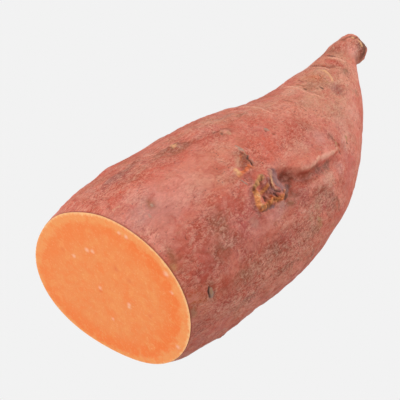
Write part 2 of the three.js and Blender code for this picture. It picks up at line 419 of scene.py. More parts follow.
class Board:
    """The node tree of one material."""

    def __init__(self, name: str) -> None:
        """Makes an empty material of that name."""
        self.material = bpy.data.materials.new(name)
        self.material.use_nodes = True
        self.tree = self.material.node_tree
        self.tree.nodes.clear()

    def node(
        self,
        kind: str,
        settings: dict[str, object] | None = None,
        inputs: dict[str | int, object] | None = None,
        output: str | int = 0,
    ) -> Tap:
        """Adds a node.

        Args:
            kind: the node's type.
            settings: its own settings, which are made first.
            inputs: values or taps by the name or number of their sockets.
            output: the name or number of the output to return.

        Returns:
            The chosen output.
        """
        made = self.tree.nodes.new(kind)
        for name, value in (settings or {}).items():
            setattr(made, name, value)
        for name, value in (inputs or {}).items():
            socket = made.inputs[name]
            if isinstance(value, Tap):
                self.tree.links.new(value.socket, socket)
            elif socket.type == "RGBA" and len(value) == 3:
                socket.default_value = (*value, 1.0)
            else:
                socket.default_value = value
        return Tap(self, made.outputs[output] if len(made.outputs) else None)

    def mask(self, layer: Layer) -> Tap:
        """Reads one of the skin's masks."""
        return self.value(layer.value)

    def brightened(self, colour: Tap, factor: Tap | float) -> Tap:
        """Makes a colour lighter or darker."""
        inputs = {"Vector": colour, "Scale": factor}
        return self.node("ShaderNodeVectorMath", {"operation": "SCALE"}, inputs)

    def paint(self, name: str, thinnest: float = 0.001) -> tuple[Tap, Tap]:
        """Reads a coat of paint.

        Args:
            name: the coat's name.
            thinnest: keeps the division by its thickness safe where there is no paint.

        Returns:
            The paint's own colour, and how thickly it covers.
        """
        amount = self.value(name + "_amount")
        inputs = {0: self.vector(name + "_colour"), 1: amount.most(thinnest)}
        return self.node("ShaderNodeVectorMath", {"operation": "DIVIDE"}, inputs), amount

    def value(self, name: str) -> Tap:
        """Reads a number that is kept at each point of the mesh."""
        return self.node("ShaderNodeAttribute", {"attribute_name": name}, output="Fac")

    def vector(self, name: str) -> Tap:
        """Reads a vector that is kept at each point of the mesh."""
        return self.node("ShaderNodeAttribute", {"attribute_name": name}, output="Vector")

    def object_place(self) -> Tap:
        """The point's own place, in metres."""
        return self.node("ShaderNodeTexCoord", output="Object")

    def scaled(self, vector: Tap, scale: tuple[float, float, float]) -> Tap:
        """Multiplies a vector part by part."""
        return self.node("ShaderNodeVectorMath", {"operation": "MULTIPLY"}, {0: vector, 1: scale})

    def moved(self, vector: Tap, by: tuple[float, float, float] | Tap) -> Tap:
        """Adds to a vector."""
        return self.node("ShaderNodeVectorMath", {"operation": "ADD"}, {0: vector, 1: by})

    def noise(self, vector: Tap, scale: float, detail: float = 3.0, roughness: float = 0.5,
              distortion: float = 0.0) -> Tap:
        """Cloudy noise, about 0.5 on average."""
        inputs = {"Vector": vector, "Scale": scale, "Detail": detail, "Roughness": roughness,
                  "Distortion": distortion}
        return self.node("ShaderNodeTexNoise", None, inputs)

    def cells(self, vector: Tap, scale: float) -> Tap:
        """Distance from the middle of the nearest of many scattered cells."""
        inputs = {"Vector": vector, "Scale": scale}
        return self.node("ShaderNodeTexVoronoi", None, inputs, output="Distance")

    def dot(self, vector: Tap, direction: tuple[float, float, float]) -> Tap:
        """How far a place lies along a direction."""
        inputs = {0: vector, 1: direction}
        return self.node(
            "ShaderNodeVectorMath", {"operation": "DOT_PRODUCT"}, inputs, output="Value"
        )

    def blend(self, factor: Tap | float, first: Tap | Colour, second: Tap | Colour) -> Tap:
        """Mixes two colours: the first where the factor is 0, the second where it is 1."""
        inputs = {0: factor, 6: first, 7: second}
        return self.node("ShaderNodeMix", {"data_type": "RGBA"}, inputs, output=2)

    def finish(self, shader: Tap) -> bpy.types.Material:
        """Sends the shader to the material's output and returns the material."""
        self.node("ShaderNodeOutputMaterial", None, {"Surface": shader})
        return self.material


@dataclass(frozen=True)
class Drop:
    """A dried drop of pale sap on the cut face, or with a deep tint a small spot in the flesh."""

    at: Pixel
    size: float
    deep: bool = False


@dataclass(frozen=True)
class SkinFinish:
    """Matt rose-brown root skin with blotches, scurf and cork, with painted shade along the cut
    edge and painted light and shade on the cork's lumps.
    """

    rose: Colour = shade(201, 104, 85)
    pale: Colour = shade(218, 128, 110)
    red: Colour = shade(188, 76, 58)
    blush: Colour = shade(224, 146, 132)
    olive: Colour = shade(178, 106, 78)
    mauve: Colour = shade(192, 102, 98)
    brown: Colour = shade(146, 62, 44)
    scurf: Colour = shade(226, 180, 160)
    dark: Colour = shade(96, 50, 42)
    # Painted highlight on the raised tops of the cork's lumps.
    cork_lump_highlight: Colour = shade(238, 188, 132)
    gain: Colour = (1.22, 1.145, 1.06)
    roughness: float = 0.55
    name: str = "skin_finish"

    def material(self) -> bpy.types.Material:
        """Builds the skin's material.

        Returns:
            The material.
        """
        board = Board(self.name)
        # Noise from broad to fine, in waves per millimetre of the grown root.
        grown = board.vector("grown")
        clouds = board.noise(grown, 0.08, 3, 0.55)
        hues = board.noise(board.moved(grown, (50, 0, 0)), 0.13, 3, 0.6)
        patches = board.noise(board.moved(grown, (0, 90, 0)), 0.14, 3, 0.55)
        mottle = board.noise(board.scaled(grown, (0.7, 1, 1)), 0.3, 4, 0.6, 0.8)
        flush = board.noise(board.moved(grown, (0, 0, 70)), 0.22, 3, 0.6, 1.0)
        worms = board.noise(board.scaled(grown, (0.6, 1, 1)), 0.62, 3, 0.6, 1.5)
        grain = board.noise(board.scaled(grown, (0.7, 1, 1)), 1.3, 3, 0.6)
        fine = board.noise(board.scaled(grown, (0.6, 1, 1)), 1.9, 2, 0.6, 1.0)

        # Broad changes of tint, with the blotches among them.
        colour = board.blend(clouds.eased(0.35, 0.65), self.rose, self.pale)
        colour = board.blend(hues.eased(0.5, 0.66) * 0.5, colour, self.olive)
        colour = board.blend((1 - hues.eased(0.34, 0.48)) * 0.5, colour, self.mauve)
        colour = board.blend(mottle.eased(0.5, 0.62) * 0.5, colour, self.red)
        colour = board.blend((1 - mottle.eased(0.36, 0.48)) * 0.5, colour, self.pale)
        colour = self._tinted(board, colour, mottle, grain)
        colour = board.blend(flush.eased(0.52, 0.64) * 0.35, colour, self.red)
        colour = board.blend((1 - flush.eased(0.36, 0.47)) * 0.35, colour, self.blush)

        # Streaks, scurf and specks, strongest where the skin is streaky and weak where it is calm.
        streaky = board.mask(Layer.STREAKY)
        calm = 1 - board.mask(Layer.CALM) * 0.8
        busy = (patches.eased(0.42, 0.6).most(streaky) * 0.85 + 0.3) * calm
        colour = board.blend(worms.eased(0.5, 0.62) * busy * 0.27, colour, self.scurf)
        colour = board.blend((1 - worms.eased(0.34, 0.47)) * busy * 0.4, colour, self.brown)
        colour = board.brightened(colour, 1 + (mottle - 0.5) * 0.3 + (grain - 0.5) * 0.25)
        colour = board.blend(fine.eased(0.5, 0.64) * busy * 0.26, colour, self.scurf)
        colour = board.blend((1 - fine.eased(0.34, 0.48)) * busy * 0.28, colour, self.brown)
        scurf = self._scurf(board, grown, fine) * (streaky * 0.7 + busy * 0.28)
        colour = board.blend(scurf * 0.7, colour, self.scurf)
        specks = (1 - board.cells(grown, 0.5).eased(0.08, 0.2)) * grain.eased(0.48, 0.56)
        colour = board.blend(specks * 0.5, colour, self.dark)
        # Painted shade: the skin turns brown along the edge of the cut face, as a dark shadow line
        # there.
        cut_edge_shade = 1 - board.value("from_cut").eased(0.2, 0.8)
        colour = board.blend(cut_edge_shade * 0.6, colour, self.brown)
        colour = self._marked(board, colour, grain)

        height = mottle * 0.95 + worms * 0.3 + grain * 0.12 + scurf * 0.15
        normal = board.node(
            "ShaderNodeBump", None, {"Strength": 0.7, "Distance": 0.45 * MM, "Height": height}
        )
        inputs = {
            "Base Color": board.scaled(colour, self.gain),
            "Roughness": self.roughness + (grain - 0.5) * 0.3 + board.mask(Layer.CORK) * 0.3,
            "Normal": normal,
            "Specular IOR Level": 0.25,
            "Subsurface Weight": 0.05,
            "Subsurface Radius": (1.0, 0.35, 0.2),
            "Subsurface Scale": 1.0 * MM,
        }
        return board.finish(board.node("ShaderNodeBsdfPrincipled", None, inputs))

    def _tinted(self, board: Board, colour: Tap, mottle: Tap, grain: Tap) -> Tap:
        """Lays the soft blotches over the colour, with ragged edges."""
        tint, amount = board.paint("blotch")
        ragged = (mottle - 0.5) * 1.1 + (grain - 0.5) * 0.7
        share = (amount + ragged * amount.eased(0, 0.3)).eased(0.08, 0.85)
        return board.blend(share, colour, tint)

    def _marked(self, board: Board, colour: Tap, grain: Tap) -> Tap:
        """Lays the crisp marks over the colour. Where they are cork, they are painted lighter and
        creamier on the lumps' raised tops and darker low down: painted light and shade that follows
        the cork's lumps.
        """
        tint, amount = board.paint("mark")
        grit = board.value("grit") * board.mask(Layer.CORK)
        # Painted light and shade: grit also raises the cork, so the marks are lighter on its raised
        # tops and darker low down.
        tint = board.brightened(tint, 0.95 + grit * 0.75 + (grain - 0.5) * 0.6)
        tint = board.blend(grit.eased(0.25, 0.6) * 0.3, tint, self.cork_lump_highlight)
        edge = (amount + (grain - 0.5) * 0.5 * amount.eased(0, 0.3)).eased(0.25, 0.75)
        return board.blend(edge * 0.92, colour, tint)

    def _scurf(self, board: Board, grown: Tap, fine: Tap) -> Tap:
        """Short thin lines of pale scurf that run every way, but mostly along the root."""
        bends = board.noise(board.scaled(grown, (0.6, 1, 1)), 0.8, 2, 0.5, 1.2)
        fibres = board.noise(board.scaled(grown, (0.3, 1, 1)), 1.7, 2, 0.6, 0.8)
        lines = 1 - (bends - 0.5).size().eased(0.004, 0.03)
        return (lines.most(fibres.eased(0.54, 0.64) * 0.8)) * fine.eased(0.35, 0.55)


@dataclass(frozen=True)
class FleshFinish:
    """Moist orange flesh with a paler band inside the skin."""

    drops: tuple[tuple[tuple[float, float, float], Drop], ...] = ()
    middle: Colour = shade(241, 141, 76)
    deep: Colour = shade(244, 124, 54)
    band: Colour = shade(243, 153, 86)
    rim: Colour = shade(250, 196, 138)
    sap: Colour = shade(250, 208, 184)
    spot: Colour = shade(232, 106, 52)
    narrow_side: tuple[float, float, float] = (0.0, 0.47, -0.88)
    strong_side: tuple[float, float, float] = (0.0, -0.87, -0.5)
    name: str = "flesh_finish"

    def material(self) -> bpy.types.Material:
        """Builds the flesh's material.

        Returns:
            The material.
        """
        board = Board(self.name)
        place = board.scaled(board.object_place(), (1000, 1000, 1000))
        grain_place = board.vector("grown")
        rim = board.value("rim_distance")
        clouds = board.noise(place, 0.11, 3, 0.55)
        mottle = board.noise(place, 0.3, 4, 0.6, 0.5)
        grain = board.noise(place, 1.3, 3, 0.6)
        fibres = board.noise(grain_place, 0.7, 3, 0.65)
        low_side = board.dot(grain_place, self.narrow_side)
        near_side = board.dot(grain_place, self.strong_side)
        # The paler band is narrow on the low side, and the ring inside it strong on the near side.
        width = 3.9 - low_side.eased(5, 30) * 2.6
        depth = rim - width + (clouds - 0.5) * 3.0 + (mottle - 0.5) * 3.0 + (fibres - 0.5) * 2.2
        strength = (0.6 + near_side.eased(-25, 15) * 0.5) * (0.75 + clouds.eased(0.35, 0.55) * 0.25)
        ringed = board.blend(strength, self.middle, self.deep)
        colour = board.blend(depth.eased(2.5, 10.5), ringed, self.middle)
        colour = board.blend(1 - depth.eased(-1.2, 1.2), colour, self.band)
        colour = board.blend(mottle.eased(0.5, 0.66) * 0.45, colour, self.deep)
        colour = board.blend((1 - mottle.eased(0.34, 0.5)) * 0.6, colour, self.band)
        colour = board.blend((1 - fibres.eased(0.3, 0.45)) * 0.12, colour, self.rim)
        colour = board.blend(grain.eased(0.56, 0.72) * 0.35, colour, self.deep)
        colour = board.blend((1 - grain.eased(0.3, 0.44)) * 0.25, colour, self.rim)
        near_rim = rim + (fibres - 0.5) * 3.0 + low_side.eased(-25, 25) * 0.9
        colour = board.blend((1 - near_rim.eased(0.1, 1.4)) * 0.85, colour, self.rim)
        for at, drop in self.drops:
            offset = {"operation": "DISTANCE"}
            gap = board.node("ShaderNodeVectorMath", offset, {0: place, 1: at}, output="Value")
            there = 1 - (gap + (grain - 0.5) * 0.9).eased(0, drop.size * 2.8)
            colour = board.blend(there * 0.5, colour, self.spot if drop.deep else self.sap)
        normal = board.node(
            "ShaderNodeBump", None,
            {"Strength": 0.4, "Distance": 0.2 * MM, "Height": grain + mottle * 0.6},
        )
        inputs = {
            "Base Color": colour,
            "Roughness": 0.42 + (grain - 0.5) * 0.2,
            "Normal": normal,
            "Specular IOR Level": 0.35,
            "Subsurface Weight": 0.12,
            "Subsurface Radius": (1.0, 0.4, 0.15),
            "Subsurface Scale": 1.5 * MM,
        }
        return board.finish(board.node("ShaderNodeBsdfPrincipled", None, inputs))


@dataclass
class Coat:
    """Paint on the mesh's points: colours laid over each other, each as thick as it is told."""

    count: int
    colour: np.ndarray = field(init=False)
    amount: np.ndarray = field(init=False)

    def __post_init__(self) -> None:
        """Starts with nothing painted on the points."""
        self.colour = np.zeros((self.count, 3))
        self.amount = np.zeros(self.count)

    def lay(self, tint: Tint, amount: np.ndarray) -> None:
        """Lays a colour over what is there."""
        share = np.clip(amount, 0, 1)
        self.colour = self.colour * (1 - share[:, None]) + np.array(tint.value) * share[:, None]
        self.amount = self.amount * (1 - share) + share


@dataclass(frozen=True)
class Pattern:
    """An uneven pattern: its waves per millimetre along and across, its layers and its height."""

    along: float
    across: float
    octaves: int
    start: float = 0.0
    height: float = 1.0


@dataclass
class Relief:
    """The skin's fine relief and masks, gathered at the mesh's points before they are laid on."""

    points: np.ndarray
    normals: np.ndarray
    grown: np.ndarray
    raggedness: float = 0.45
    widest_raggedness: float = 0.8
    lumpiness: float = 0.6
    cork_height: float = 0.18
    facing_limit: float = 0.4
    wobble_pattern: Pattern = Pattern(0.75, 0.75, 2)
    grit_pattern: Pattern = Pattern(0.8, 0.8, 3, start=31.7)
    fade: float = 0.8
    finer: float = 2.0
    height: np.ndarray = field(init=False)
    masks: dict[Layer, np.ndarray] = field(init=False)
    blotches: Coat = field(init=False)
    marks: Coat = field(init=False)
    wobble: np.ndarray = field(init=False)
    grit: np.ndarray = field(init=False)

    def __post_init__(self) -> None:
        """Starts with a bare skin and the unevenness that every line on it shares."""
        self.height = np.zeros(len(self.points))
        self.masks = {layer: np.zeros(len(self.points)) for layer in Layer}
        self.blotches = Coat(len(self.points))
        self.marks = Coat(len(self.points))
        self.wobble = self.fractal(self.wobble_pattern)
        self.grit = self.fractal(self.grit_pattern)

    def fractal(self, pattern: Pattern) -> np.ndarray:
        """Uneven values between about -1 and 1, at the mesh's points.

        Args:
            pattern: its waves, its layers, and a start that makes it differ from the others.

        Returns:
            One value for each point.
        """
        scale = np.array((pattern.along, pattern.across, pattern.across))
        points = [Vector(point) for point in self.grown * scale + pattern.start]
        return np.array(
            [noise.fractal(point, self.fade, self.finer, pattern.octaves) for point in points]
        )

    def colour(self, tint: Tint | Layer | None, amount: np.ndarray, soft: bool) -> None:
        """Lays a tint on, or adds to a mask so that it comes near 1 and never passes it."""
        if isinstance(tint, Layer):
            self.masks[tint] = 1 - (1 - self.masks[tint]) * (1 - np.clip(amount, 0, 1))
        elif tint:
            (self.blotches if soft else self.marks).lay(tint, amount)

    def lay_stroke(self, stroke: Stroke, route: np.ndarray) -> None:
        """Lays a line on the skin.

        Args:
            stroke: the line.
            route: its corners, three columns.
        """
        nearest = np.full(len(self.points), np.inf)
        for start, end in zip(route[:-1], route[1:]):
            step = end - start
            share = np.clip((self.points - start) @ step / max(step @ step, 1e-9), 0, 1)
            gap = np.linalg.norm(self.points - start - share[:, None] * step, axis=1)
            nearest = np.minimum(nearest, gap)
        ragged = (
            nearest + self.wobble * min(stroke.width, self.widest_raggedness) * self.raggedness
        )
        shape = hill(np.maximum(ragged, 0), stroke.width)
        lumps = self.grit * self.lumpiness if stroke.tint else 0
        self.height += stroke.height * shape * (1 + lumps)
        self.colour(stroke.tint, stroke.amount * shape, stroke.soft)

    def roughen_cork(self) -> None:
        """Breaks the corky places into lumps."""
        self.height += self.masks[Layer.CORK] * self.grit * self.cork_height

    def spread(self, at: np.ndarray, facing: np.ndarray, forward: np.ndarray, turn: float,
               size: tuple[float, float]) -> tuple[np.ndarray, np.ndarray, np.ndarray]:
        """How far every point lies from a place, along and across a turned direction.

        Args:
            at: the place.
            facing: the skin's outward direction there.
            forward: the root's own direction there.
            turn: degrees from the root's own direction.
            size: half length and half width.

        Returns:
            Distances in half lengths and half widths, and 1 where the skin faces the same way.
        """
        length_way = forward - facing * (forward @ facing)
        length_way /= np.linalg.norm(length_way)
        width_way = np.cross(facing, length_way)
        angle = math.radians(turn)
        along = length_way * math.cos(angle) + width_way * math.sin(angle)
        across = width_way * math.cos(angle) - length_way * math.sin(angle)
        away = self.points - at
        same_side = ease(self.normals @ facing, 0.0, self.facing_limit)
        return away @ along / size[0], away @ across / size[1], same_side


@dataclass
class CutSweetPotato:
    """The root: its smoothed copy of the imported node, its relief, its masks and two finishes."""

    camera: PhotoCamera
    line: MiddleLine = field(default_factory=MiddleLine)
    merge_distance: float = 0.002
    same_plane: float = 0.01
    pair_face_degrees: float = 80.0
    pair_shape_degrees: float = 60.0
    pair_regularity: float = 2.0
    cut_normal: tuple[float, float, float] = (-0.9950372, -0.0995037, 0.0)
    cut_middle: tuple[float, float, float] = (-75.884, 0.488, 34.2)
    smoothing_levels: int = 2
    sharp_degrees: float = 50.0
    sharpness: float = 0.85
    cut_rings: int = 6
    innermost_ring: float = 0.35
    rim_radius: float = 33.0
    radial_grain: float = 0.25
    ray_length: float = 2000.0
    broken_facing: tuple[float, float] = (0.45, 0.8)
    broken_along: tuple[float, float] = (146, 150)
    relief_start: float = 2.5
    patch_raggedness: float = 0.35
    full_texture_radius: float = 30.0
    least_texture: float = 0.35
    lumps: Pattern = Pattern(0.085, 0.085, 3, height=0.4)
    dents: Pattern = Pattern(0.24, 0.24, 2, start=7.3, height=0.19)
    wrinkles: Pattern = Pattern(0.12, 0.55, 2, start=3.1, height=0.1)
    valleys: Pattern = Pattern(0.06, 0.13, 2, start=11.9, height=0.25)
    valley_width: float = 0.11
    dip_around: float = 66.0
    dip_width: float = 18.0
    dip_length: float = 25.0
    dip_depth: float = 0.8
    tree: BVHTree = field(init=False)
    relief: Relief = field(init=False)
    rim_distance: np.ndarray = field(init=False)
    grown: np.ndarray = field(init=False)
    from_cut: np.ndarray = field(init=False)

    def build(self, node: bpy.types.Object) -> bpy.types.Object:
        """Makes the dressed root.

        Args:
            node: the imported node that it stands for.

        Returns:
            The finished object, at the origin.
        """
        mesh = self._smoothed(self._quads(node))
        self._dip_rim(mesh)
        self._fill_cut(mesh)
        self.tree = BVHTree.FromBMesh(mesh)
        self._refine(mesh)
        log.info("root: %d points, %d faces", len(mesh.verts), len(mesh.faces))
        self._dress(mesh)
        data = bpy.data.meshes.new("cut_sweet_potato")
        mesh.to_mesh(data)
        mesh.free()
        for layer, values in self.relief.masks.items():
            self._keep(data, layer.value, "FLOAT", "value", values)
        for name, coat in (("blotch", self.relief.blotches), ("mark", self.relief.marks)):
            self._keep(data, name + "_colour", "FLOAT_VECTOR", "vector", coat.colour)
            self._keep(data, name + "_amount", "FLOAT", "value", coat.amount)
        self._keep(data, "rim_distance", "FLOAT", "value", self.rim_distance)
        self._keep(data, "grown", "FLOAT_VECTOR", "vector", self.grown)
        self._keep(data, "grit", "FLOAT", "value", self.relief.grit)
        self._keep(data, "from_cut", "FLOAT", "value", self.from_cut)
        data.materials.append(SkinFinish().material())
        drops = tuple((tuple(self._find(drop.at)[0]), drop) for drop in LATEX_DROPS)
        data.materials.append(FleshFinish(drops=drops).material())
        root = bpy.data.objects.new("cut_sweet_potato", data)
        bpy.context.scene.collection.objects.link(root)
        return root

    @staticmethod
    def _keep(data: bpy.types.Mesh, name: str, kind: str, part: str, values: np.ndarray) -> None:
        """Keeps values at the mesh's points for the materials."""
        attribute = data.attributes.new(name, kind, "POINT")
        attribute.data.foreach_set(part, values.astype(np.float32).ravel())

    def _quads(self, node: bpy.types.Object) -> bpy.types.Mesh:
        """Copies the node, opens its cut face and pairs its triangles."""
        mesh = bmesh.new()
        mesh.from_mesh(node.data)
        bmesh.ops.remove_doubles(mesh, verts=mesh.verts, dist=self.merge_distance * MM)
        normal = Vector(self.cut_normal)
        middle = Vector(self.cut_middle) * MM
        near = self.same_plane * MM
        cut = [face for face in mesh.faces
               if all(abs((vert.co - middle).dot(normal)) < near for vert in face.verts)]
        bmesh.ops.delete(mesh, geom=cut, context="FACES")
        bmesh.ops.delete(mesh, geom=[v for v in mesh.verts if not v.link_faces], context="VERTS")
        bmesh.ops.join_triangles(
            mesh,
            faces=mesh.faces,
            angle_face_threshold=math.radians(self.pair_face_degrees),
            angle_shape_threshold=math.radians(self.pair_shape_degrees),
            topology_influence=self.pair_regularity,
        )
        crease = mesh.edges.layers.float.new("crease_edge")
        for edge in mesh.edges:
            if not edge.is_boundary and edge.calc_face_angle() > math.radians(self.sharp_degrees):
                edge[crease] = self.sharpness
        data = bpy.data.meshes.new("quads")
        mesh.to_mesh(data)
        mesh.free()
        return data

    def _smoothed(self, data: bpy.types.Mesh) -> bmesh.types.BMesh:
        """Smooths the copy with a subdivision surface, and applies it."""
        blank = bpy.data.objects.new("blank", data)
        bpy.context.scene.collection.objects.link(blank)
        finer = blank.modifiers.new("finer", "SUBSURF")
        finer.levels = self.smoothing_levels
        finer.render_levels = self.smoothing_levels
        finer.boundary_smooth = "ALL"
        mesh = bmesh.new()
        mesh.from_object(blank, bpy.context.evaluated_depsgraph_get())
        bpy.data.objects.remove(blank)
        return mesh

    def _dip_rim(self, mesh: bmesh.types.BMesh) -> None:
        """Lowers the far upper edge of the cut a little, which the photo shows flatter."""
        along, around, _ = self.line.locate(np.array([vert.co for vert in mesh.verts]) / MM)
        share = hill(np.degrees(around) - self.dip_around, self.dip_width)
        share *= 1 - ease(along, 0, self.dip_length)
        for vert, part in zip(mesh.verts, share):
            vert.co.z -= self.dip_depth * part * MM

    def _fill_cut(self, mesh: bmesh.types.BMesh) -> None:
        """Closes the cut face with rings that follow its outline."""
        middle = Vector(self.cut_middle) * MM
        edges = [edge for edge in mesh.edges if edge.is_boundary]
        flesh = []
        for left in range(self.cut_rings, 0, -1):
            share = (left - 1 + self.innermost_ring) / (left + self.innermost_ring)
            made = bmesh.ops.extrude_edge_only(mesh, edges=edges)["geom"]
            verts = [item for item in made if isinstance(item, bmesh.types.BMVert)]
            flesh += [item for item in made if isinstance(item, bmesh.types.BMFace)]
            edges = [item for item in made if isinstance(item, bmesh.types.BMEdge)
                     and item.is_boundary]
            bmesh.ops.scale(mesh, vec=(share, share, share), space=Matrix.Translation(-middle),
                            verts=verts)
        flesh += bmesh.ops.contextual_create(mesh, geom=edges)["faces"]
        for face in flesh:
            face.material_index = 1
            face.smooth = True
            for edge in face.edges:
                edge.smooth = all(other.material_index for other in edge.link_faces)
        bmesh.ops.recalc_face_normals(mesh, faces=mesh.faces)

    def _refine(self, mesh: bmesh.types.BMesh) -> None:
        """Gives the scars a finer mesh than the rest."""
        for area in FINE_AREAS:
            at, _ = self._find(area.at)
            middle = Vector(at) * MM
            near = [face for face in mesh.faces if not face.material_index
                    and (face.calc_center_median() - middle).length < area.radius * MM]
            edges = list({edge for face in near for edge in face.edges})
            bmesh.ops.subdivide_edges(mesh, edges=edges, cuts=1, use_grid_fill=True)

    def _dress(self, mesh: bmesh.types.BMesh) -> None:
        """Carves the relief into the mesh and works out the masks."""
        points = np.array([vert.co for vert in mesh.verts]) / MM
        is_flesh = np.array([all(f.material_index for f in v.link_faces) for v in mesh.verts])
        on_rim = np.array([any(f.material_index for f in v.link_faces) for v in mesh.verts])
        on_rim &= ~is_flesh
        normals = np.array([self._skin_normal(vert) for vert in mesh.verts])
        along, around, radius = self.line.locate(points)
        self.grown = np.stack(
            [along, radius * np.cos(around), radius * np.sin(around)], axis=-1
        )
        rim = points[on_rim]
        self.rim_distance = np.zeros(len(points))
        for index in np.flatnonzero(is_flesh):
            self.rim_distance[index] = np.linalg.norm(rim - points[index], axis=1).min()
        self.grown[is_flesh] = self._flesh_grain(around[is_flesh], self.rim_distance[is_flesh])
        self.relief = Relief(points, normals, self.grown)
        self._grow_texture(radius)
        self._cover_broken_end(normals, along)
        self._lay_marks()
        self.from_cut = np.abs((points - np.array(self.cut_middle)) @ self.cut_normal)
        started = ease(self.from_cut, 0, self.relief_start)
        lift = np.where(is_flesh, 0, self.relief.height * started)
        moved = points + normals * lift[:, None]
        moved[:, 2] = np.maximum(moved[:, 2], 0)
        for vert, point in zip(mesh.verts, moved):
            vert.co = point * MM

    def _cover_broken_end(self, normals: np.ndarray, along: np.ndarray) -> None:
        """Covers the broken end of the neck with cork."""
        facing_end = np.sum(normals * self.line.frame_at(along)[1], axis=1)
        broken = ease(facing_end, *self.broken_facing) * ease(along, *self.broken_along)
        self.relief.colour(Layer.CORK, broken, False)
        self.relief.colour(Tint.BARK, broken, False)

    def _lay_marks(self) -> None:
        """Lays the blotches, lines and root scars over each other, in the order of their lists."""
        for patch in scattered_patches() + PATCHES:
            self._lay_patch(patch)
        for stroke in STROKES:
            route = np.array([self._find(spot)[0] for spot in stroke.route])
            self.relief.lay_stroke(stroke, route)
        for eye in EYES:
            self._lay_eye(eye)
        self.relief.roughen_cork()

    @staticmethod
    def _skin_normal(vert: bmesh.types.BMVert) -> Vector:
        """The outward direction of the skin at a point, without the cut face's share in it."""
        total = Vector()
        for face in vert.link_faces:
            if not face.material_index:
                total += face.normal
        return total.normalized() if total.length else vert.normal

    def _flesh_grain(self, around: np.ndarray, rim_distance: np.ndarray) -> np.ndarray:
        """Places for the flesh's pattern, drawn out from the rim towards the middle."""
        radius = self.rim_radius
        across = [radius * np.cos(around), radius * np.sin(around)]
        return np.stack([-self.radial_grain * rim_distance, *across], axis=-1)

    def _grow_texture(self, radius: np.ndarray) -> None:
        """Gives the whole skin its low lumps and the faint wrinkles along the root."""
        lumps = self.relief.fractal(self.lumps) * self.lumps.height
        dents = self.relief.fractal(self.dents) * self.dents.height
        valleys = hill(self.relief.fractal(self.valleys), self.valley_width) * self.valleys.height
        thin = np.clip(radius / self.full_texture_radius, self.least_texture, 1)
        self.relief.height += (lumps + dents - valleys) * thin
        self.relief.height += self.relief.fractal(self.wrinkles) * self.wrinkles.height

    def _find(self, spot: Spot) -> tuple[np.ndarray, np.ndarray]:
        """Finds a spot on the skin.

        Args:
            spot: a pixel of the photograph, or a place along and around the root.

        Returns:
            The point and the skin's outward direction there.
        """
        if isinstance(spot, Pixel):
            start = self.camera.position
            direction = self.camera.ray(spot)
        else:
            start, direction = self.line.outward(spot)
        hit, normal, _, _ = self.tree.ray_cast(start * MM, direction, self.ray_length * MM)
        if hit is None:
            raise ValueError(f"nothing of the root lies at {spot}")
        return np.array(hit) / MM, np.array(normal)

    def _spread_from(self, spot: Spot, turn: float,
                     size: tuple[float, float]) -> tuple[np.ndarray, np.ndarray, np.ndarray]:
        """How far every point of the mesh lies from a spot on the skin.

        Args:
            spot: where to measure from.
            turn: degrees from the root's own direction there.
            size: half length and half width.

        Returns:
            Distances in half lengths and half widths, and 1 where the skin faces the same way.
        """
        at, facing = self._find(spot)
        nearest, _, _ = self.line.locate(at[None, :])
        forward = self.line.frame_at(nearest)[1][0]
        return self.relief.spread(at, facing, forward, turn, size)

    def _lay_patch(self, patch: Patch) -> None:
        """Tints a stretch of skin."""
        along, across, same_side = self._spread_from(patch.at, patch.turn, patch.size)
        reach = np.hypot(along, across)
        if patch.tint:
            reach = np.maximum(reach + self.patch_raggedness * self.relief.wobble, 0)
        shape = hill(reach, 1.0) * same_side
        self.relief.colour(patch.tint, patch.amount * shape, True)
        self.relief.height += patch.height * shape

    def _lay_eye(self, eye: Eye) -> None:
        """Carves a root scar: a lip round it, cork in it and a dark pit at one end."""
        along, across, same_side = self._spread_from(eye.at, eye.turn, eye.size)
        reach = np.hypot(along, across)
        lip = hill(reach - eye.lip_radius, eye.lip_width)
        pit = hill(np.hypot(along + eye.pit_offset, across), eye.pit_size)
        cork = hill(np.hypot(along - eye.cork_offset, across), eye.cork_size)
        raised = eye.lip * (lip + eye.cork_height * cork)
        self.relief.height += (raised - eye.pit * pit) * same_side
        halo = hill(reach, eye.halo_size) * same_side
        self.relief.colour(Tint.BROWN, halo * eye.halo_amount, True)
        self.relief.colour(eye.fill, cork * same_side * eye.cork_amount, False)
        self.relief.colour(Tint.BARK, pit * same_side * eye.pit_darkness, False)


def scattered_patches(count: int = 90, seed: int = 41) -> tuple[Patch, ...]:
    """Blotches on the sides that the photograph hides, always the same ones.

    Args:
        count: how many there are.
        seed: picks their places and tints.

    Returns:
        The blotches.
    """
    chance = random.Random(seed)
    tints = (Tint.PINK, Tint.CORAL, Tint.RED, Tint.BROWN, Tint.OLIVE, Tint.MAUVE, Tint.DUSTY_PINK)
    return tuple(
        Patch(
            chance.choice(tints),
            Place(chance.uniform(4, 148), chance.uniform(215, 400)),
            (chance.uniform(3, 9), chance.uniform(2, 5)),
            chance.uniform(-25, 25),
            chance.uniform(0.3, 0.75),
        )
        for _ in range(count)
    )
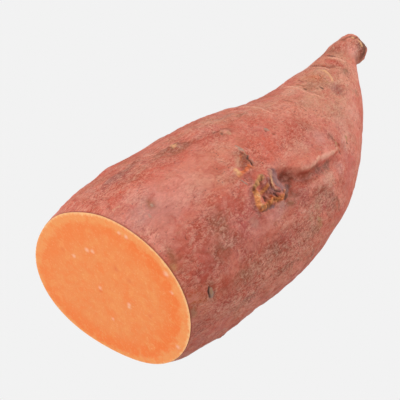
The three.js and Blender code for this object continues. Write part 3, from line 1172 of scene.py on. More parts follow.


# Upper left: brown and coral bands along the root, above a stretch of pale pink and lilac that is
# partly paler skin and partly a painted sheen.
LEFT_PATCHES: tuple[Patch, ...] = (
    Patch(Layer.STREAKY, Pixel(105, 190), (18, 10)),
    Patch(Layer.STREAKY, Pixel(150, 155), (16, 6), amount=0.8),
    Patch(Layer.STREAKY, Pixel(205, 125), (14, 5), amount=0.7),
    Patch(Tint.MAUVE, Pixel(112, 180), (4.5, 2.5), amount=0.8),
    Patch(Tint.BROWN, Pixel(126, 170), (5, 2), amount=0.8),
    Patch(Tint.BROWN, Pixel(134, 163), (3, 1.5), amount=0.7),
    Patch(Tint.OLIVE, Pixel(131, 182), (4, 2), amount=0.7),
    Patch(Tint.DUSTY_PINK, Pixel(88, 190), (5, 2), amount=0.6),
    Patch(Tint.RED, Pixel(95, 203), (4, 4), amount=0.5),
    Patch(Tint.CORAL, Pixel(124, 191), (8, 2.5), amount=0.8),
    Patch(Tint.CORAL, Pixel(150, 176), (6, 3), amount=0.8),
    Patch(Tint.CORAL, Pixel(168, 163), (8, 3), amount=0.6),
    Patch(Tint.OLIVE, Pixel(118, 210), (4, 2), amount=0.5),
    Patch(Tint.RED, Pixel(130, 206), (5, 2), amount=0.5),
    Patch(Tint.PINK, Pixel(128, 199), (6, 1.4), amount=0.8),
    # Pale pink and lilac near the top of the cut's rim: partly paler skin, partly painted sheen.
    Patch(Tint.DUSTY_PINK, Pixel(150, 208), (9, 7), amount=0.9),
    Patch(Tint.LILAC, Pixel(145, 219), (4, 4), amount=0.7),
    Patch(Tint.LILAC, Pixel(150, 203), (3, 3), amount=0.5),
    Patch(Tint.DUSTY_PINK, Pixel(120, 223), (3, 6), amount=0.5),
    Patch(Tint.DUSTY_PINK, Pixel(160, 232), (5, 7), amount=0.8),
    Patch(Tint.PINK, Pixel(176, 190), (8, 6), amount=0.65),
    Patch(Tint.PINK, Pixel(196, 180), (7, 5), amount=0.55),
    Patch(Tint.PINK, Pixel(180, 207), (6, 5), amount=0.5),
    Patch(Tint.DUSTY_PINK, Pixel(200, 192), (5, 3), amount=0.6),
    Patch(Tint.SALMON, Pixel(185, 165), (8, 3), amount=0.6),
    Patch(Tint.BROWN, Pixel(165, 150.5), (5, 1.5), amount=0.9),
    Patch(Tint.OLIVE, Pixel(178, 151), (5, 1.5), amount=0.8),
    Patch(Tint.BROWN, Pixel(187, 145), (4, 2), amount=0.8),
    Patch(Tint.OLIVE, Pixel(160, 157), (5, 2), amount=0.5),
    Patch(Tint.RED, Pixel(155, 143), (6, 2), amount=0.5),
    Patch(Tint.TAN, Pixel(185, 132), (7, 2), amount=0.5),
    Patch(Tint.TAN, Pixel(208, 121), (8, 2.5), amount=0.5),
    Patch(Tint.RED, Pixel(203, 138), (6, 2), amount=0.9),
    Patch(Tint.BROWN, Pixel(201, 137), (2.5, 1.2), amount=0.6),
    Patch(Tint.MAUVE, Pixel(225, 116), (6, 1.2), amount=0.6),
    Patch(Tint.OLIVE, Pixel(232, 180), (2.2, 1.2), amount=0.8),
    Patch(Tint.RED, Pixel(119, 182), (6, 4), amount=0.5),
    Patch(Tint.RED, Pixel(160, 163), (8, 4), amount=0.45),
    Patch(Tint.RED, Pixel(199, 151), (7, 4), amount=0.4),
    Patch(Tint.RED, Pixel(110, 200), (5, 6), amount=0.4),
    Patch(Tint.MAUVE, Pixel(168, 213), (7, 4), amount=0.35),
)

# The middle: a brown patch that is partly browner skin and partly the painted shade of a shallow
# valley, with crimson beside it, and the duller skin under it.
MIDDLE_PATCHES: tuple[Patch, ...] = (
    Patch(Tint.CORAL, Pixel(222, 150), (8, 5), amount=0.6),
    Patch(Tint.SALMON, Pixel(205, 165), (7, 4), amount=0.6),
    Patch(Tint.RED, Pixel(224, 172), (4, 4), amount=0.5),
    Patch(Tint.CORAL, Pixel(240, 190), (6, 4), amount=0.7),
    Patch(Tint.CORAL, Pixel(218, 192), (6, 4), amount=0.6),
    Patch(Tint.RED, Pixel(232, 210), (6, 3), amount=0.8),
    # Partly browner skin, partly painted shade of a shallow valley.
    Patch(Tint.BROWN, Pixel(216, 220), (5, 4), amount=0.9),
    Patch(Tint.OLIVE, Pixel(219, 227), (4, 3), amount=0.7),
    Patch(Tint.RED, Pixel(200, 226), (5, 2.5), amount=0.8),
    Patch(Tint.RED, Pixel(205, 240), (7, 4), amount=0.35),
    Patch(Tint.RED, Pixel(185, 250), (6, 5), amount=0.35),
    Patch(Tint.OLIVE, Pixel(171, 255), (1.5, 3), amount=0.8),
    Patch(Tint.STRAW, Pixel(172.5, 267.5), (1.4, 1.3), amount=0.9),
    Patch(Tint.CRIMSON, Pixel(243, 226), (3, 4), amount=0.9),
    Patch(Tint.CRIMSON, Pixel(250, 208), (3, 4), amount=0.6),
    Patch(Tint.GREY, Pixel(255, 223), (2, 2), amount=0.7),
    Patch(Tint.PINK, Pixel(257, 236), (3, 4), amount=0.5),
    Patch(Tint.BROWN, Pixel(232, 243), (6, 2), amount=0.6),
    Patch(Tint.BROWN, Pixel(216, 258), (5, 3.5), amount=0.5),
    Patch(Tint.OLIVE, Pixel(222, 250), (3, 2.5), amount=0.6),
    Patch(Tint.CRIMSON, Pixel(205, 272), (7, 5), amount=0.5),
    Patch(Tint.CRIMSON, Pixel(245, 252), (7, 4), amount=0.5),
    Patch(Tint.OLIVE, Pixel(245, 276), (6, 3.5), amount=0.8),
    Patch(Tint.RED, Pixel(225, 290), (7, 5), amount=0.4),
    Patch(Tint.RED, Pixel(190, 285), (5, 7), amount=0.2),
    Patch(Tint.RUST, Pixel(200, 303), (6, 6), amount=0.5),
    Patch(Tint.CRIMSON, Pixel(222, 305), (6, 2.5), amount=0.5),
    Patch(Tint.RED, Pixel(205, 325), (9, 5), amount=0.6),
    Patch(Tint.DUSK, Pixel(198, 328), (3, 3), amount=0.3),
    Patch(Tint.OLIVE, Pixel(193, 312), (1.5, 2.2), amount=0.9),
    Patch(Tint.TAN, Pixel(194, 316), (0.9, 0.8), amount=0.6),
    Patch(Tint.BROWN, Pixel(248, 300), (7, 2), amount=0.7),
    Patch(Layer.STREAKY, Pixel(240, 300), (24, 6)),
    Patch(Layer.STREAKY, Pixel(262, 270), (12, 5)),
)

# Lower right: grainy brown skin under the crease, with straw-coloured scurf near the edge.
RIGHT_PATCHES: tuple[Patch, ...] = (
    Patch(Layer.STREAKY, Pixel(318, 210), (14, 8)),
    Patch(Layer.STREAKY, Pixel(300, 250), (14, 6)),
    Patch(Tint.BROWN, Pixel(295, 190), (6, 4.5), amount=0.9),
    Patch(Tint.DUSK, Pixel(291, 183), (3, 2), amount=0.5),
    Patch(Tint.OLIVE, Pixel(291, 203), (2, 1.4), amount=0.8),
    Patch(Tint.CRIMSON, Pixel(305, 196), (3, 4), amount=0.6),
    Patch(Tint.DUSTY_PINK, Pixel(277, 213), (5, 2.6), amount=0.9),
    Patch(Tint.LILAC, Pixel(283, 204), (2, 1.6), amount=0.7),
    Patch(Tint.SALMON, Pixel(290, 223), (4, 2.5), amount=0.7),
    Patch(Tint.PINK, Pixel(270, 226), (4, 2), amount=0.4),
    Patch(Tint.CRIMSON, Pixel(285, 240), (6, 3), amount=0.8),
    Patch(Tint.BROWN, Pixel(277, 250), (5, 2.5), amount=0.8),
    Patch(Tint.RED, Pixel(300, 229), (4, 2.5), amount=0.7),
    Patch(Tint.BROWN, Pixel(322, 195), (7, 4), amount=0.8),
    Patch(Tint.CRIMSON, Pixel(324, 205), (2.4, 1.5), amount=0.8),
    Patch(Tint.TAN, Pixel(317, 207), (2, 2), amount=0.6),
    Patch(Tint.STRAW, Pixel(320, 222), (1.5, 2.4), amount=0.7),
    Patch(Tint.TAN, Pixel(311, 218), (1.2, 3), amount=0.5),
    Patch(Tint.OLIVE, Pixel(314, 230), (4, 3), amount=0.6),
    Patch(Tint.BROWN, Pixel(333, 206), (3.5, 4), amount=0.7),
    Patch(Tint.RUST, Pixel(333, 226), (2, 2), amount=0.7),
    Patch(Tint.DUSK, Pixel(312, 254), (1.5, 2.4), amount=0.7),
    Patch(Tint.TAN, Pixel(301, 257), (3.5, 1.5), amount=0.5),
    Patch(Tint.BROWN, Pixel(285, 268), (7, 2.5), amount=0.6),
    Patch(Tint.PINK, Pixel(330, 178), (3.5, 2.5), amount=0.8),
    Patch(Tint.DUSTY_PINK, Pixel(341, 167), (3, 2.5), amount=0.6),
    Patch(Tint.DUSTY_PINK, Pixel(345, 190), (3, 4), amount=0.5),
    Patch(Tint.DUSK, Pixel(333, 196), (1.4, 2.5), amount=0.5),
    Patch(Tint.SALMON, Pixel(314, 181), (3, 2), amount=0.5),
)

# Swells and hollows that bring the outline to the photograph's.
SWELLS: tuple[Patch, ...] = (
    Patch(None, Place(25.5, 41), (5, 5), height=0.95),
    Patch(None, Place(48, 47), (8, 5), height=-0.4),
    Patch(None, Place(83, 54), (14, 6), height=-0.35),
    Patch(None, Place(112, 46), (10, 6), height=-0.45),
    Patch(None, Place(146, 36), (4, 4), height=0.5),
    Patch(None, Place(92, 187), (10, 6), height=1.0),
    Patch(None, Place(34, 43), (4, 4), height=0.35),
    Patch(None, Place(141, 167), (6, 5), height=0.35),
    Patch(None, Place(66, 204), (8, 6), height=-0.5),
    Patch(None, Place(15, 214), (6, 6), height=-0.6),
)

# Upper right: coral skin that turns to pink and tan towards the neck.
SHOULDER_PATCHES: tuple[Patch, ...] = (
    Patch(Tint.CORAL, Pixel(262, 145), (9, 5), amount=0.8),
    Patch(Tint.CORAL, Pixel(250, 122), (8, 4), amount=0.7),
    Patch(Tint.CORAL, Pixel(290, 155), (8, 5), amount=0.8),
    Patch(Tint.PINK, Pixel(296, 152), (4, 2.5), amount=0.5),
    Patch(Tint.CRIMSON, Pixel(308, 143), (5, 4), amount=0.4),
    Patch(Tint.RED, Pixel(296, 126), (6, 4), amount=0.7),
    Patch(Tint.SALMON, Pixel(275, 110), (9, 4), amount=0.8),
    Patch(Tint.SALMON, Pixel(300, 110), (7, 5), amount=0.6),
    Patch(Tint.OLIVE, Pixel(309, 127), (2, 4), amount=0.4),
    Patch(Tint.DUSTY_PINK, Pixel(320, 138), (4, 4), amount=0.7),
    Patch(Tint.SALMON, Pixel(318, 112), (6, 5), amount=0.7),
    Patch(Tint.TAN, Pixel(335, 112), (5, 5), amount=0.45),
    Patch(Tint.PINK, Pixel(352, 112), (5, 4), amount=0.7),
    Patch(Tint.PINK, Pixel(345, 128), (5, 4), amount=0.5),
    Patch(Tint.LILAC, Pixel(344, 145), (3, 3), amount=0.4),
    Patch(Tint.BROWN, Pixel(331, 137), (1.6, 1.8), amount=0.8),
    Patch(Tint.BROWN, Pixel(303, 127), (0.8, 3), amount=0.5),
    Patch(Tint.OLIVE, Pixel(305, 104), (3, 1.8), amount=0.6),
    Patch(Tint.BROWN, Pixel(291, 93), (3, 1), amount=0.6),
    Patch(Tint.BROWN, Pixel(242, 114), (3.5, 0.8), amount=0.9),
    Patch(Layer.STREAKY, Pixel(262, 110), (18, 6), amount=0.7),
    Patch(Layer.STREAKY, Pixel(300, 112), (12, 8), amount=0.6),
    Patch(Layer.STREAKY, Pixel(335, 88), (12, 8), amount=0.6),
    Patch(Layer.STREAKY, Pixel(338, 125), (10, 8), amount=0.6),
    Patch(Layer.STREAKY, Pixel(290, 142), (12, 7), amount=0.5),
    Patch(Tint.OLIVE, Pixel(350, 46), (6, 5), amount=0.45),
    Patch(Tint.TAN, Pixel(332, 60), (9, 7), amount=0.4),
    Patch(Tint.TAN, Pixel(312, 80), (11, 7), amount=0.5),
    Patch(Tint.OLIVE, Pixel(314, 79), (7, 4), amount=0.5),
    Patch(Tint.TAN, Pixel(340, 100), (9, 8), amount=0.4),
    Patch(Tint.MAUVE, Pixel(337.5, 87), (2.6, 2.8), amount=0.6, height=-0.2),
    Patch(Tint.BROWN, Pixel(338, 51), (4, 3), amount=0.55),
    Patch(Tint.OLIVE, Pixel(357, 60), (3, 5), amount=0.5),
    Patch(Tint.TAN, Pixel(338, 62), (7, 6), amount=0.5),
    Patch(Tint.TAN, Pixel(318, 78), (6, 7), amount=0.5),
    Patch(Tint.TAN, Pixel(345, 82), (8, 5), amount=0.55),
    Patch(Tint.BLUSH, Pixel(290, 90), (9, 4), amount=0.5),
    Patch(Tint.TAN, Pixel(312, 100), (8, 6), amount=0.5),
    Patch(Tint.TAN, Pixel(262, 105), (9, 4), amount=0.45),
    Patch(Tint.TAN, Pixel(222, 120), (8, 3), amount=0.4),
    Patch(Tint.BLUSH, Pixel(346, 138), (4, 4), amount=0.4),
    Patch(Tint.RED, Pixel(292, 138), (7, 4), amount=0.45),
    Patch(Tint.CRIMSON, Pixel(302, 82), (1.5, 1.2), amount=0.7),
    Patch(Tint.RUST, Pixel(315, 79), (4, 3.2), amount=0.7),
    Patch(Tint.OLIVE, Pixel(310, 85), (3.5, 2), amount=0.7),
    Patch(Tint.OLIVE, Pixel(324, 84), (2.5, 2), amount=0.6),
    Patch(Layer.STREAKY, Pixel(316, 82), (6, 4)),
    Patch(Tint.MAUVE, Pixel(337, 90), (2.6, 2.3), amount=0.9, height=-0.4),
    Patch(Tint.BROWN, Pixel(338, 92), (1.2, 1.2), amount=0.8),
    Patch(Tint.RED, Pixel(343, 86), (1.5, 1.5), amount=0.7),
    Patch(Tint.SALMON, Pixel(345, 78), (3, 3), amount=0.5),
    Patch(Tint.TAN, Pixel(356, 80), (4, 2), amount=0.4),
    Patch(Tint.OLIVE, Pixel(356, 92), (1.3, 1.8), amount=0.7),
    Patch(Tint.RED, Pixel(334, 63), (2, 3.5), amount=0.8),
    Patch(Tint.BROWN, Pixel(333, 50), (2.5, 2), amount=0.6),
    Patch(Tint.RED, Pixel(342, 46), (2, 2), amount=0.7),
    Patch(Tint.PINK, Pixel(352, 50), (3, 2.6), amount=0.9),
    # Painted shade under the broken end of the neck.
    Patch(Tint.MAUVE, Pixel(356, 58), (1.5, 1.5), amount=0.6),
)

# Round the crease: the dusk, brown and red tints along its valley are painted shade, and the pink
# along the crest is a painted highlight. Last, wide thin tints that even out the whole body.
CREASE_PATCHES: tuple[Patch, ...] = (
    Patch(Tint.SLATE, Pixel(280, 181), (3.6, 2.6), amount=1.0),
    Patch(Tint.MAUVE, Pixel(268, 188), (3.5, 3.0), amount=0.9),
    Patch(Layer.CALM, Pixel(296, 177), (8, 3.5)),
    Patch(Layer.CALM, Pixel(322, 166), (7, 3)),
    Patch(Layer.CALM, Pixel(168, 196), (11, 8), amount=0.8),
    Patch(Layer.CALM, Pixel(185, 170), (9, 4), amount=0.5),
    Patch(Tint.CORAL, Pixel(292, 165), (6, 2.2), amount=0.7),
    # Painted shade in the deep hollow where the crease starts.
    Patch(Tint.DUSK, Pixel(282.8, 175.5), (2.2, 1.6), amount=1.0, height=-0.55),
    Patch(Tint.BROWN, Pixel(294, 179), (4.5, 1.8), amount=0.7),
    Patch(Tint.SALMON, Pixel(300, 168), (5, 2.2), amount=0.6),
    Patch(Tint.SALMON, Pixel(282, 166), (4, 2), amount=0.6),
    # Painted shade along the crease's valley.
    Patch(Tint.DUSK, Pixel(317, 169.5), (4.4, 1.8), turn=-35, amount=0.85),
    Patch(Tint.DUSK, Pixel(327, 166), (3.4, 1.5), amount=0.75),
    Patch(Tint.BROWN, Pixel(310, 175), (4, 1.8), amount=0.6),
    Patch(Tint.TAN, Pixel(331, 178), (3, 2.6), amount=0.5),
    Patch(Tint.TAN, Pixel(222, 150), (9, 5), amount=0.35),
    Patch(Tint.TAN, Pixel(222, 181), (6, 4), amount=0.3),
    Patch(Tint.TAN, Pixel(300, 150), (6, 4), amount=0.35),
    Patch(Tint.TAN, Pixel(200, 181), (7, 4), amount=0.3),
    Patch(Tint.MAUVE, Pixel(124, 174), (9, 3.5), amount=0.4),
    Patch(Tint.OLIVE, Pixel(340, 116), (7, 7), amount=0.3),
    Patch(Tint.BROWN, Pixel(262, 264), (16, 8), amount=0.35),
    Patch(Tint.BROWN, Pixel(304, 238), (9, 6), amount=0.35),
    Patch(Tint.BROWN, Pixel(222, 240), (7, 6), amount=0.35),
    Patch(Tint.RED, Pixel(232, 200), (9, 5), amount=0.35),
    Patch(Tint.RED, Pixel(196, 264), (7, 7), amount=0.35),
    Patch(Tint.CRIMSON, Pixel(262, 222), (8, 4), amount=0.3),
    Patch(Tint.RED, Pixel(246, 286), (9, 4), amount=0.35),
    Patch(Tint.SALMON, Pixel(160, 226), (5, 5), amount=0.4),
    Patch(Tint.SALMON, Pixel(281, 163), (4, 2), amount=0.5),
    Patch(Tint.SALMON, Pixel(301, 166), (5, 2), amount=0.5),
    Patch(Layer.STREAKY, Pixel(331, 178), (4, 4)),
    # Painted shade along the valley, and a painted highlight in pink on the crest.
    Patch(Tint.BROWN, Pixel(304, 178.5), (4, 2.2), amount=0.8),
    Patch(Tint.PINK, Pixel(325, 156), (4, 1.1), amount=0.7),
    Patch(Tint.RED, Pixel(301, 181), (4, 3), amount=0.8),
    Patch(Tint.DUSK, Pixel(329, 164), (3, 1.2), amount=0.5),
)

PATCHES = (
    LEFT_PATCHES + MIDDLE_PATCHES + RIGHT_PATCHES + SHOULDER_PATCHES + CREASE_PATCHES + SWELLS
)

# The main scar where a thick side root broke off.
SCAR_STROKES: tuple[Stroke, ...] = (
    # Painted shadow along the outside of the scar's left rim.
    Stroke(
        Tint.MAUVE,
        pixels((252, 180), (251.5, 192), (254, 204), (259, 213)),
        1.1, -0.2, 0.7, soft=True,
    ),
    Stroke(Tint.MAUVE, pixels((264, 180), (266, 190), (271, 197), (276, 194)), 2.3, 1.1, 0.45),
    Stroke(Tint.LILAC, pixels((268, 187), (271, 194), (273.5, 196)), 1.3, 0.1, 0.55, True),
    Stroke(Tint.BARK, pixels((264, 195), (268, 203)), 0.7, -0.1, 0.35),
    Stroke(Tint.LILAC, pixels((262, 177), (263, 184)), 0.8, 0.1, 0.5, True),
    Stroke(Tint.SLATE, pixels((272.5, 174), (277, 180), (281.5, 187.5)), 2.4, 0.25, 1.0),
    Stroke(Tint.OLIVE, pixels((272.5, 175), (275, 180), (278, 185)), 0.8, 0.0, 0.6, True),
    Stroke(Tint.SLATE, pixels((274.5, 180), (277.5, 184.5), (281, 188.5)), 0.9, 0.0, 0.9),
    Stroke(Tint.LILAC, pixels((275, 177), (279.5, 185)), 0.8, 0.0, 0.5),
    Stroke(Tint.LILAC, pixels((279, 183), (284, 187)), 0.7, 0.1, 0.7),
    Stroke(Tint.BARK, pixels((286.5, 184), (287.3, 192), (285.5, 199)), 0.7, -0.1, 0.9),
    Stroke(Tint.SLATE, pixels((287.5, 184), (288.2, 191)), 0.4, 0.0, 0.7),
    Stroke(Tint.DARK, pixels((285.5, 195), (284.5, 199)), 0.4, -0.3, 0.6),
    Stroke(Tint.SLATE, pixels((268, 207), (274, 206.5)), 0.8, -0.2, 0.9),
    # Painted shadow under the scar's bottom rim.
    Stroke(Tint.BARK, pixels((262.5, 211.5), (267, 209.5), (270.5, 205.5)), 0.5, -0.35, 0.9),
    Stroke(Tint.LILAC, pixels((272, 189.5), (275, 191.5)), 0.5, 0.1, 0.8),
    Stroke(Tint.LILAC, pixels((266, 179), (267, 187)), 0.35, 0.1, 0.5),
    Stroke(Tint.DARK, pixels((274, 195), (276.5, 197)), 0.5, -0.3, 0.7),
    Stroke(Tint.DARK, pixels((263.5, 197), (265, 201)), 0.5, -0.3, 0.7),
    Stroke(Tint.STRAW, pixels((260.5, 176.5), (258, 181.5), (255.5, 186)), 0.9, 0.4),
    Stroke(Layer.CORK, pixels((260.5, 176.5), (258, 181.5), (255.5, 186)), 1.0),
    Stroke(Tint.OCHRE, pixels((255, 191), (257.5, 196), (257.5, 202), (260, 208)), 1.0, 0.4),
    Stroke(Layer.CORK, pixels((255, 191), (257.5, 196), (257.5, 202), (260, 208)), 1.3),
    Stroke(
        Tint.OCHRE,
        pixels((262, 208), (266, 206), (270, 202), (277, 200), (281, 196.5)),
        0.85, 0.45,
    ),
    Stroke(Layer.CORK, pixels((262, 208), (266, 206), (270, 202), (277, 200), (283, 192)), 1.0),
    Stroke(Tint.RUST, pixels((281, 198), (283, 192)), 0.85, 0.45),
    Stroke(Tint.OCHRE, pixels((266, 185.5), (264, 189), (261, 193.5)), 0.65, 0.3),
    Stroke(Tint.RUST, pixels((269, 197.5), (271, 198.5)), 0.6, 0.2, 0.9),
    Stroke(Tint.RUST, pixels((260, 209), (261, 210.5)), 0.6, 0.1, 0.9),
    Stroke(Tint.CREAM, pixels((257.5, 195), (259.5, 196)), 0.5, 0.2, 0.9),
    Stroke(Tint.CREAM, pixels((261, 205), (262, 208)), 0.35, 0.15, 0.7),
    Stroke(Tint.TAN, pixels((282.5, 190), (284, 191)), 0.5, 0.1, 0.8),
    Stroke(Tint.BARK, pixels((267, 178), (268.5, 183), (271, 187)), 0.3, -0.1, 0.5),
    Stroke(Tint.DARK, pixels((275, 190.5), (279, 191.5)), 0.35, -0.15, 0.8),
    Stroke(Tint.BARK, pixels((270.5, 172), (272, 177), (275, 183)), 0.3, -0.05, 0.4),
    Stroke(Tint.TAN, pixels((269, 172.5), (270, 177)), 0.4, 0.3, 0.8),
    Stroke(Tint.CREAM, pixels((269.8, 178), (271, 182), (273, 185.5)), 0.42, 0.35, 0.75),
    Stroke(Tint.TAN, pixels((273.5, 186), (276, 188.5)), 0.45, 0.3, 0.8),
    Stroke(Tint.TAN, pixels((268, 170), (270.5, 171.5), (271, 175)), 0.45, 0.25, 0.7),
    Stroke(Tint.SALMON, pixels((272, 168), (275, 169)), 0.8, 0.2, 0.7, soft=True),
    Stroke(Tint.BROWN, pixels((254, 187), (253.5, 190)), 0.4, -0.3, 0.8),
    Stroke(Tint.TAN, pixels((259, 174), (263, 173)), 0.3, 0.1, 0.5),
    Stroke(Tint.BARK, pixels((288, 184), (288.5, 192)), 0.6, -0.3, 0.7, soft=True),
    Stroke(Tint.OLIVE, pixels((289, 203), (293, 203)), 0.6, 0.0, 0.7),
)

# The smaller scar above it.
UPPER_SCAR_STROKES: tuple[Stroke, ...] = (
    Stroke(Tint.BROWN, pixels((239, 154), (242, 160), (246, 167)), 2.6, 0.2, 0.75, soft=True),
    Stroke(Tint.BARK, pixels((243, 155), (248, 162)), 1.2, 0.1, 0.5),
    Stroke(Tint.RUST, pixels((240, 157), (242, 164)), 0.8, 0.1, 0.5),
    Stroke(Layer.CORK, pixels((240, 152), (243, 158), (248, 163)), 1.7, 0.0, 0.8),
    Stroke(Tint.TAN, pixels((237, 156), (237.5, 166)), 0.7, 0.1, 0.5, soft=True),
    Stroke(Tint.GREY, pixels((235.5, 145), (239, 147.3), (242.5, 150.5)), 0.5, 0.2, 0.85),
    Stroke(Tint.TAN, pixels((243, 152), (246, 155)), 0.4, 0.15, 0.7),
    Stroke(Tint.BARK, pixels((240.5, 152.5), (243.5, 155)), 0.3, -0.1, 0.7),
    Stroke(Tint.GREY, pixels((238, 149), (241, 151.5)), 0.3, 0.1, 0.6),
    Stroke(Tint.TAN, pixels((240, 146), (243, 149)), 0.3, 0.2, 0.6),
    Stroke(Tint.PINK, pixels((245, 147.5), (249, 151)), 0.4, 0.3, 0.9),
    Stroke(Tint.DARK, pixels((247.5, 156), (247.5, 158.5)), 0.45, -0.4, 0.9),
    Stroke(Tint.DARK, pixels((249.5, 161), (252.5, 164.5)), 0.35, -0.25, 0.8),
    Stroke(Tint.GREY, pixels((250.5, 160), (254.5, 164)), 0.3, 0.15, 0.6),
    Stroke(Tint.GREY, pixels((248.5, 154), (248.5, 157)), 0.3, 0.2, 0.5),
    Stroke(Tint.CREAM, pixels((236.5, 170.5), (239, 173)), 1.2, 0.1, 0.75),
    Stroke(Tint.ORANGE, pixels((242, 172.5), (246, 170.5), (249, 166.5)), 0.7, 0.3, 0.95),
    Stroke(Tint.ORANGE, pixels((248.5, 165.5), (254, 167.3)), 0.5, 0.2, 0.9),
    Stroke(Tint.ORANGE, pixels((240, 176), (243, 175)), 0.6, 0.1, 0.6),
    Stroke(Tint.PINK, pixels((246, 174), (249, 171)), 0.4, 0.2, 0.6),
    Stroke(Layer.CORK, pixels((238, 174), (244, 172), (251, 167)), 0.9, 0.0, 0.7),
    Stroke(Tint.GREY, pixels((241.5, 180), (244.5, 182), (248, 184)), 0.4, 0.25, 0.8),
    Stroke(Tint.BROWN, pixels((246, 177.5), (249, 181)), 0.4, -0.15, 0.6),
    Stroke(Tint.BROWN, pixels((255.5, 159), (256.5, 163)), 0.35, -0.1, 0.5),
)

# The crease: a groove under a ridge, with painted shade in brown along the groove and painted
# highlight in blush along the crest.
CREASE_STROKES: tuple[Stroke, ...] = (
    Stroke(
        None,
        pixels((290, 177.5), (303, 179), (312.5, 173), (319, 167), (328, 163.5), (335, 163.6)),
        2.1, -0.7,
    ),
    Stroke(
        None,
        pixels((297, 171), (306, 169.5), (315, 164), (320, 159), (328, 154.5), (337, 150.5)),
        1.7, 0.4,
    ),
    # Painted shade along the groove.
    Stroke(
        Tint.BROWN,
        pixels((286, 177), (296, 179.5), (305, 177.5), (313, 170.5)),
        1.4, 0.0, 0.8, True,
    ),
    # Painted highlight along the crest, in blush.
    Stroke(
        Tint.BLUSH,
        pixels((302, 168.5), (308, 167), (313, 164), (318, 159)),
        0.7, 0.12, 0.7, True,
    ),
    Stroke(Tint.BLUSH, pixels((309, 166.5), (313.5, 164)), 0.35, 0.05, 0.6),
    Stroke(Tint.BLUSH, pixels((316, 159), (319, 156.5)), 0.5, 0.05, 0.8),
    Stroke(Tint.BLUSH, pixels((320, 157.5), (327, 155.5), (333, 152.5)), 1.0, 0.1, 0.75, True),
    Stroke(Tint.BLUSH, pixels((334, 152), (337, 148)), 0.7, 0.1, 0.6, True),
    Stroke(Tint.STRAW, pixels((335, 141), (338, 146), (340, 150)), 0.5, 0.3, 0.7),
    Stroke(Tint.BARK, pixels((337.5, 141.5), (340.5, 147)), 0.35, -0.3, 0.5),
    Stroke(Tint.DUSK, pixels((340, 151), (341.5, 154)), 0.5, -0.2, 0.7),
    Stroke(Tint.SALMON, pixels((333, 183), (336, 187), (337.5, 193)), 0.5, 0.15, 0.7),
    Stroke(Tint.GREY, pixels((351.5, 158), (353, 168), (355, 176)), 0.35, 0.1, 0.6),
    Stroke(Tint.BROWN, pixels((337, 198), (339, 210)), 0.7, -0.1, 0.7, soft=True),
    Stroke(Tint.STRAW, pixels((345.5, 137), (346.5, 141)), 0.6, 0.3, 0.9),
    Stroke(Tint.BARK, pixels((346.5, 142.5), (348, 143.5)), 0.4, -0.2, 0.8),
    Stroke(Tint.BROWN, pixels((329, 134), (333, 139)), 0.7, -0.1, 0.6),
)

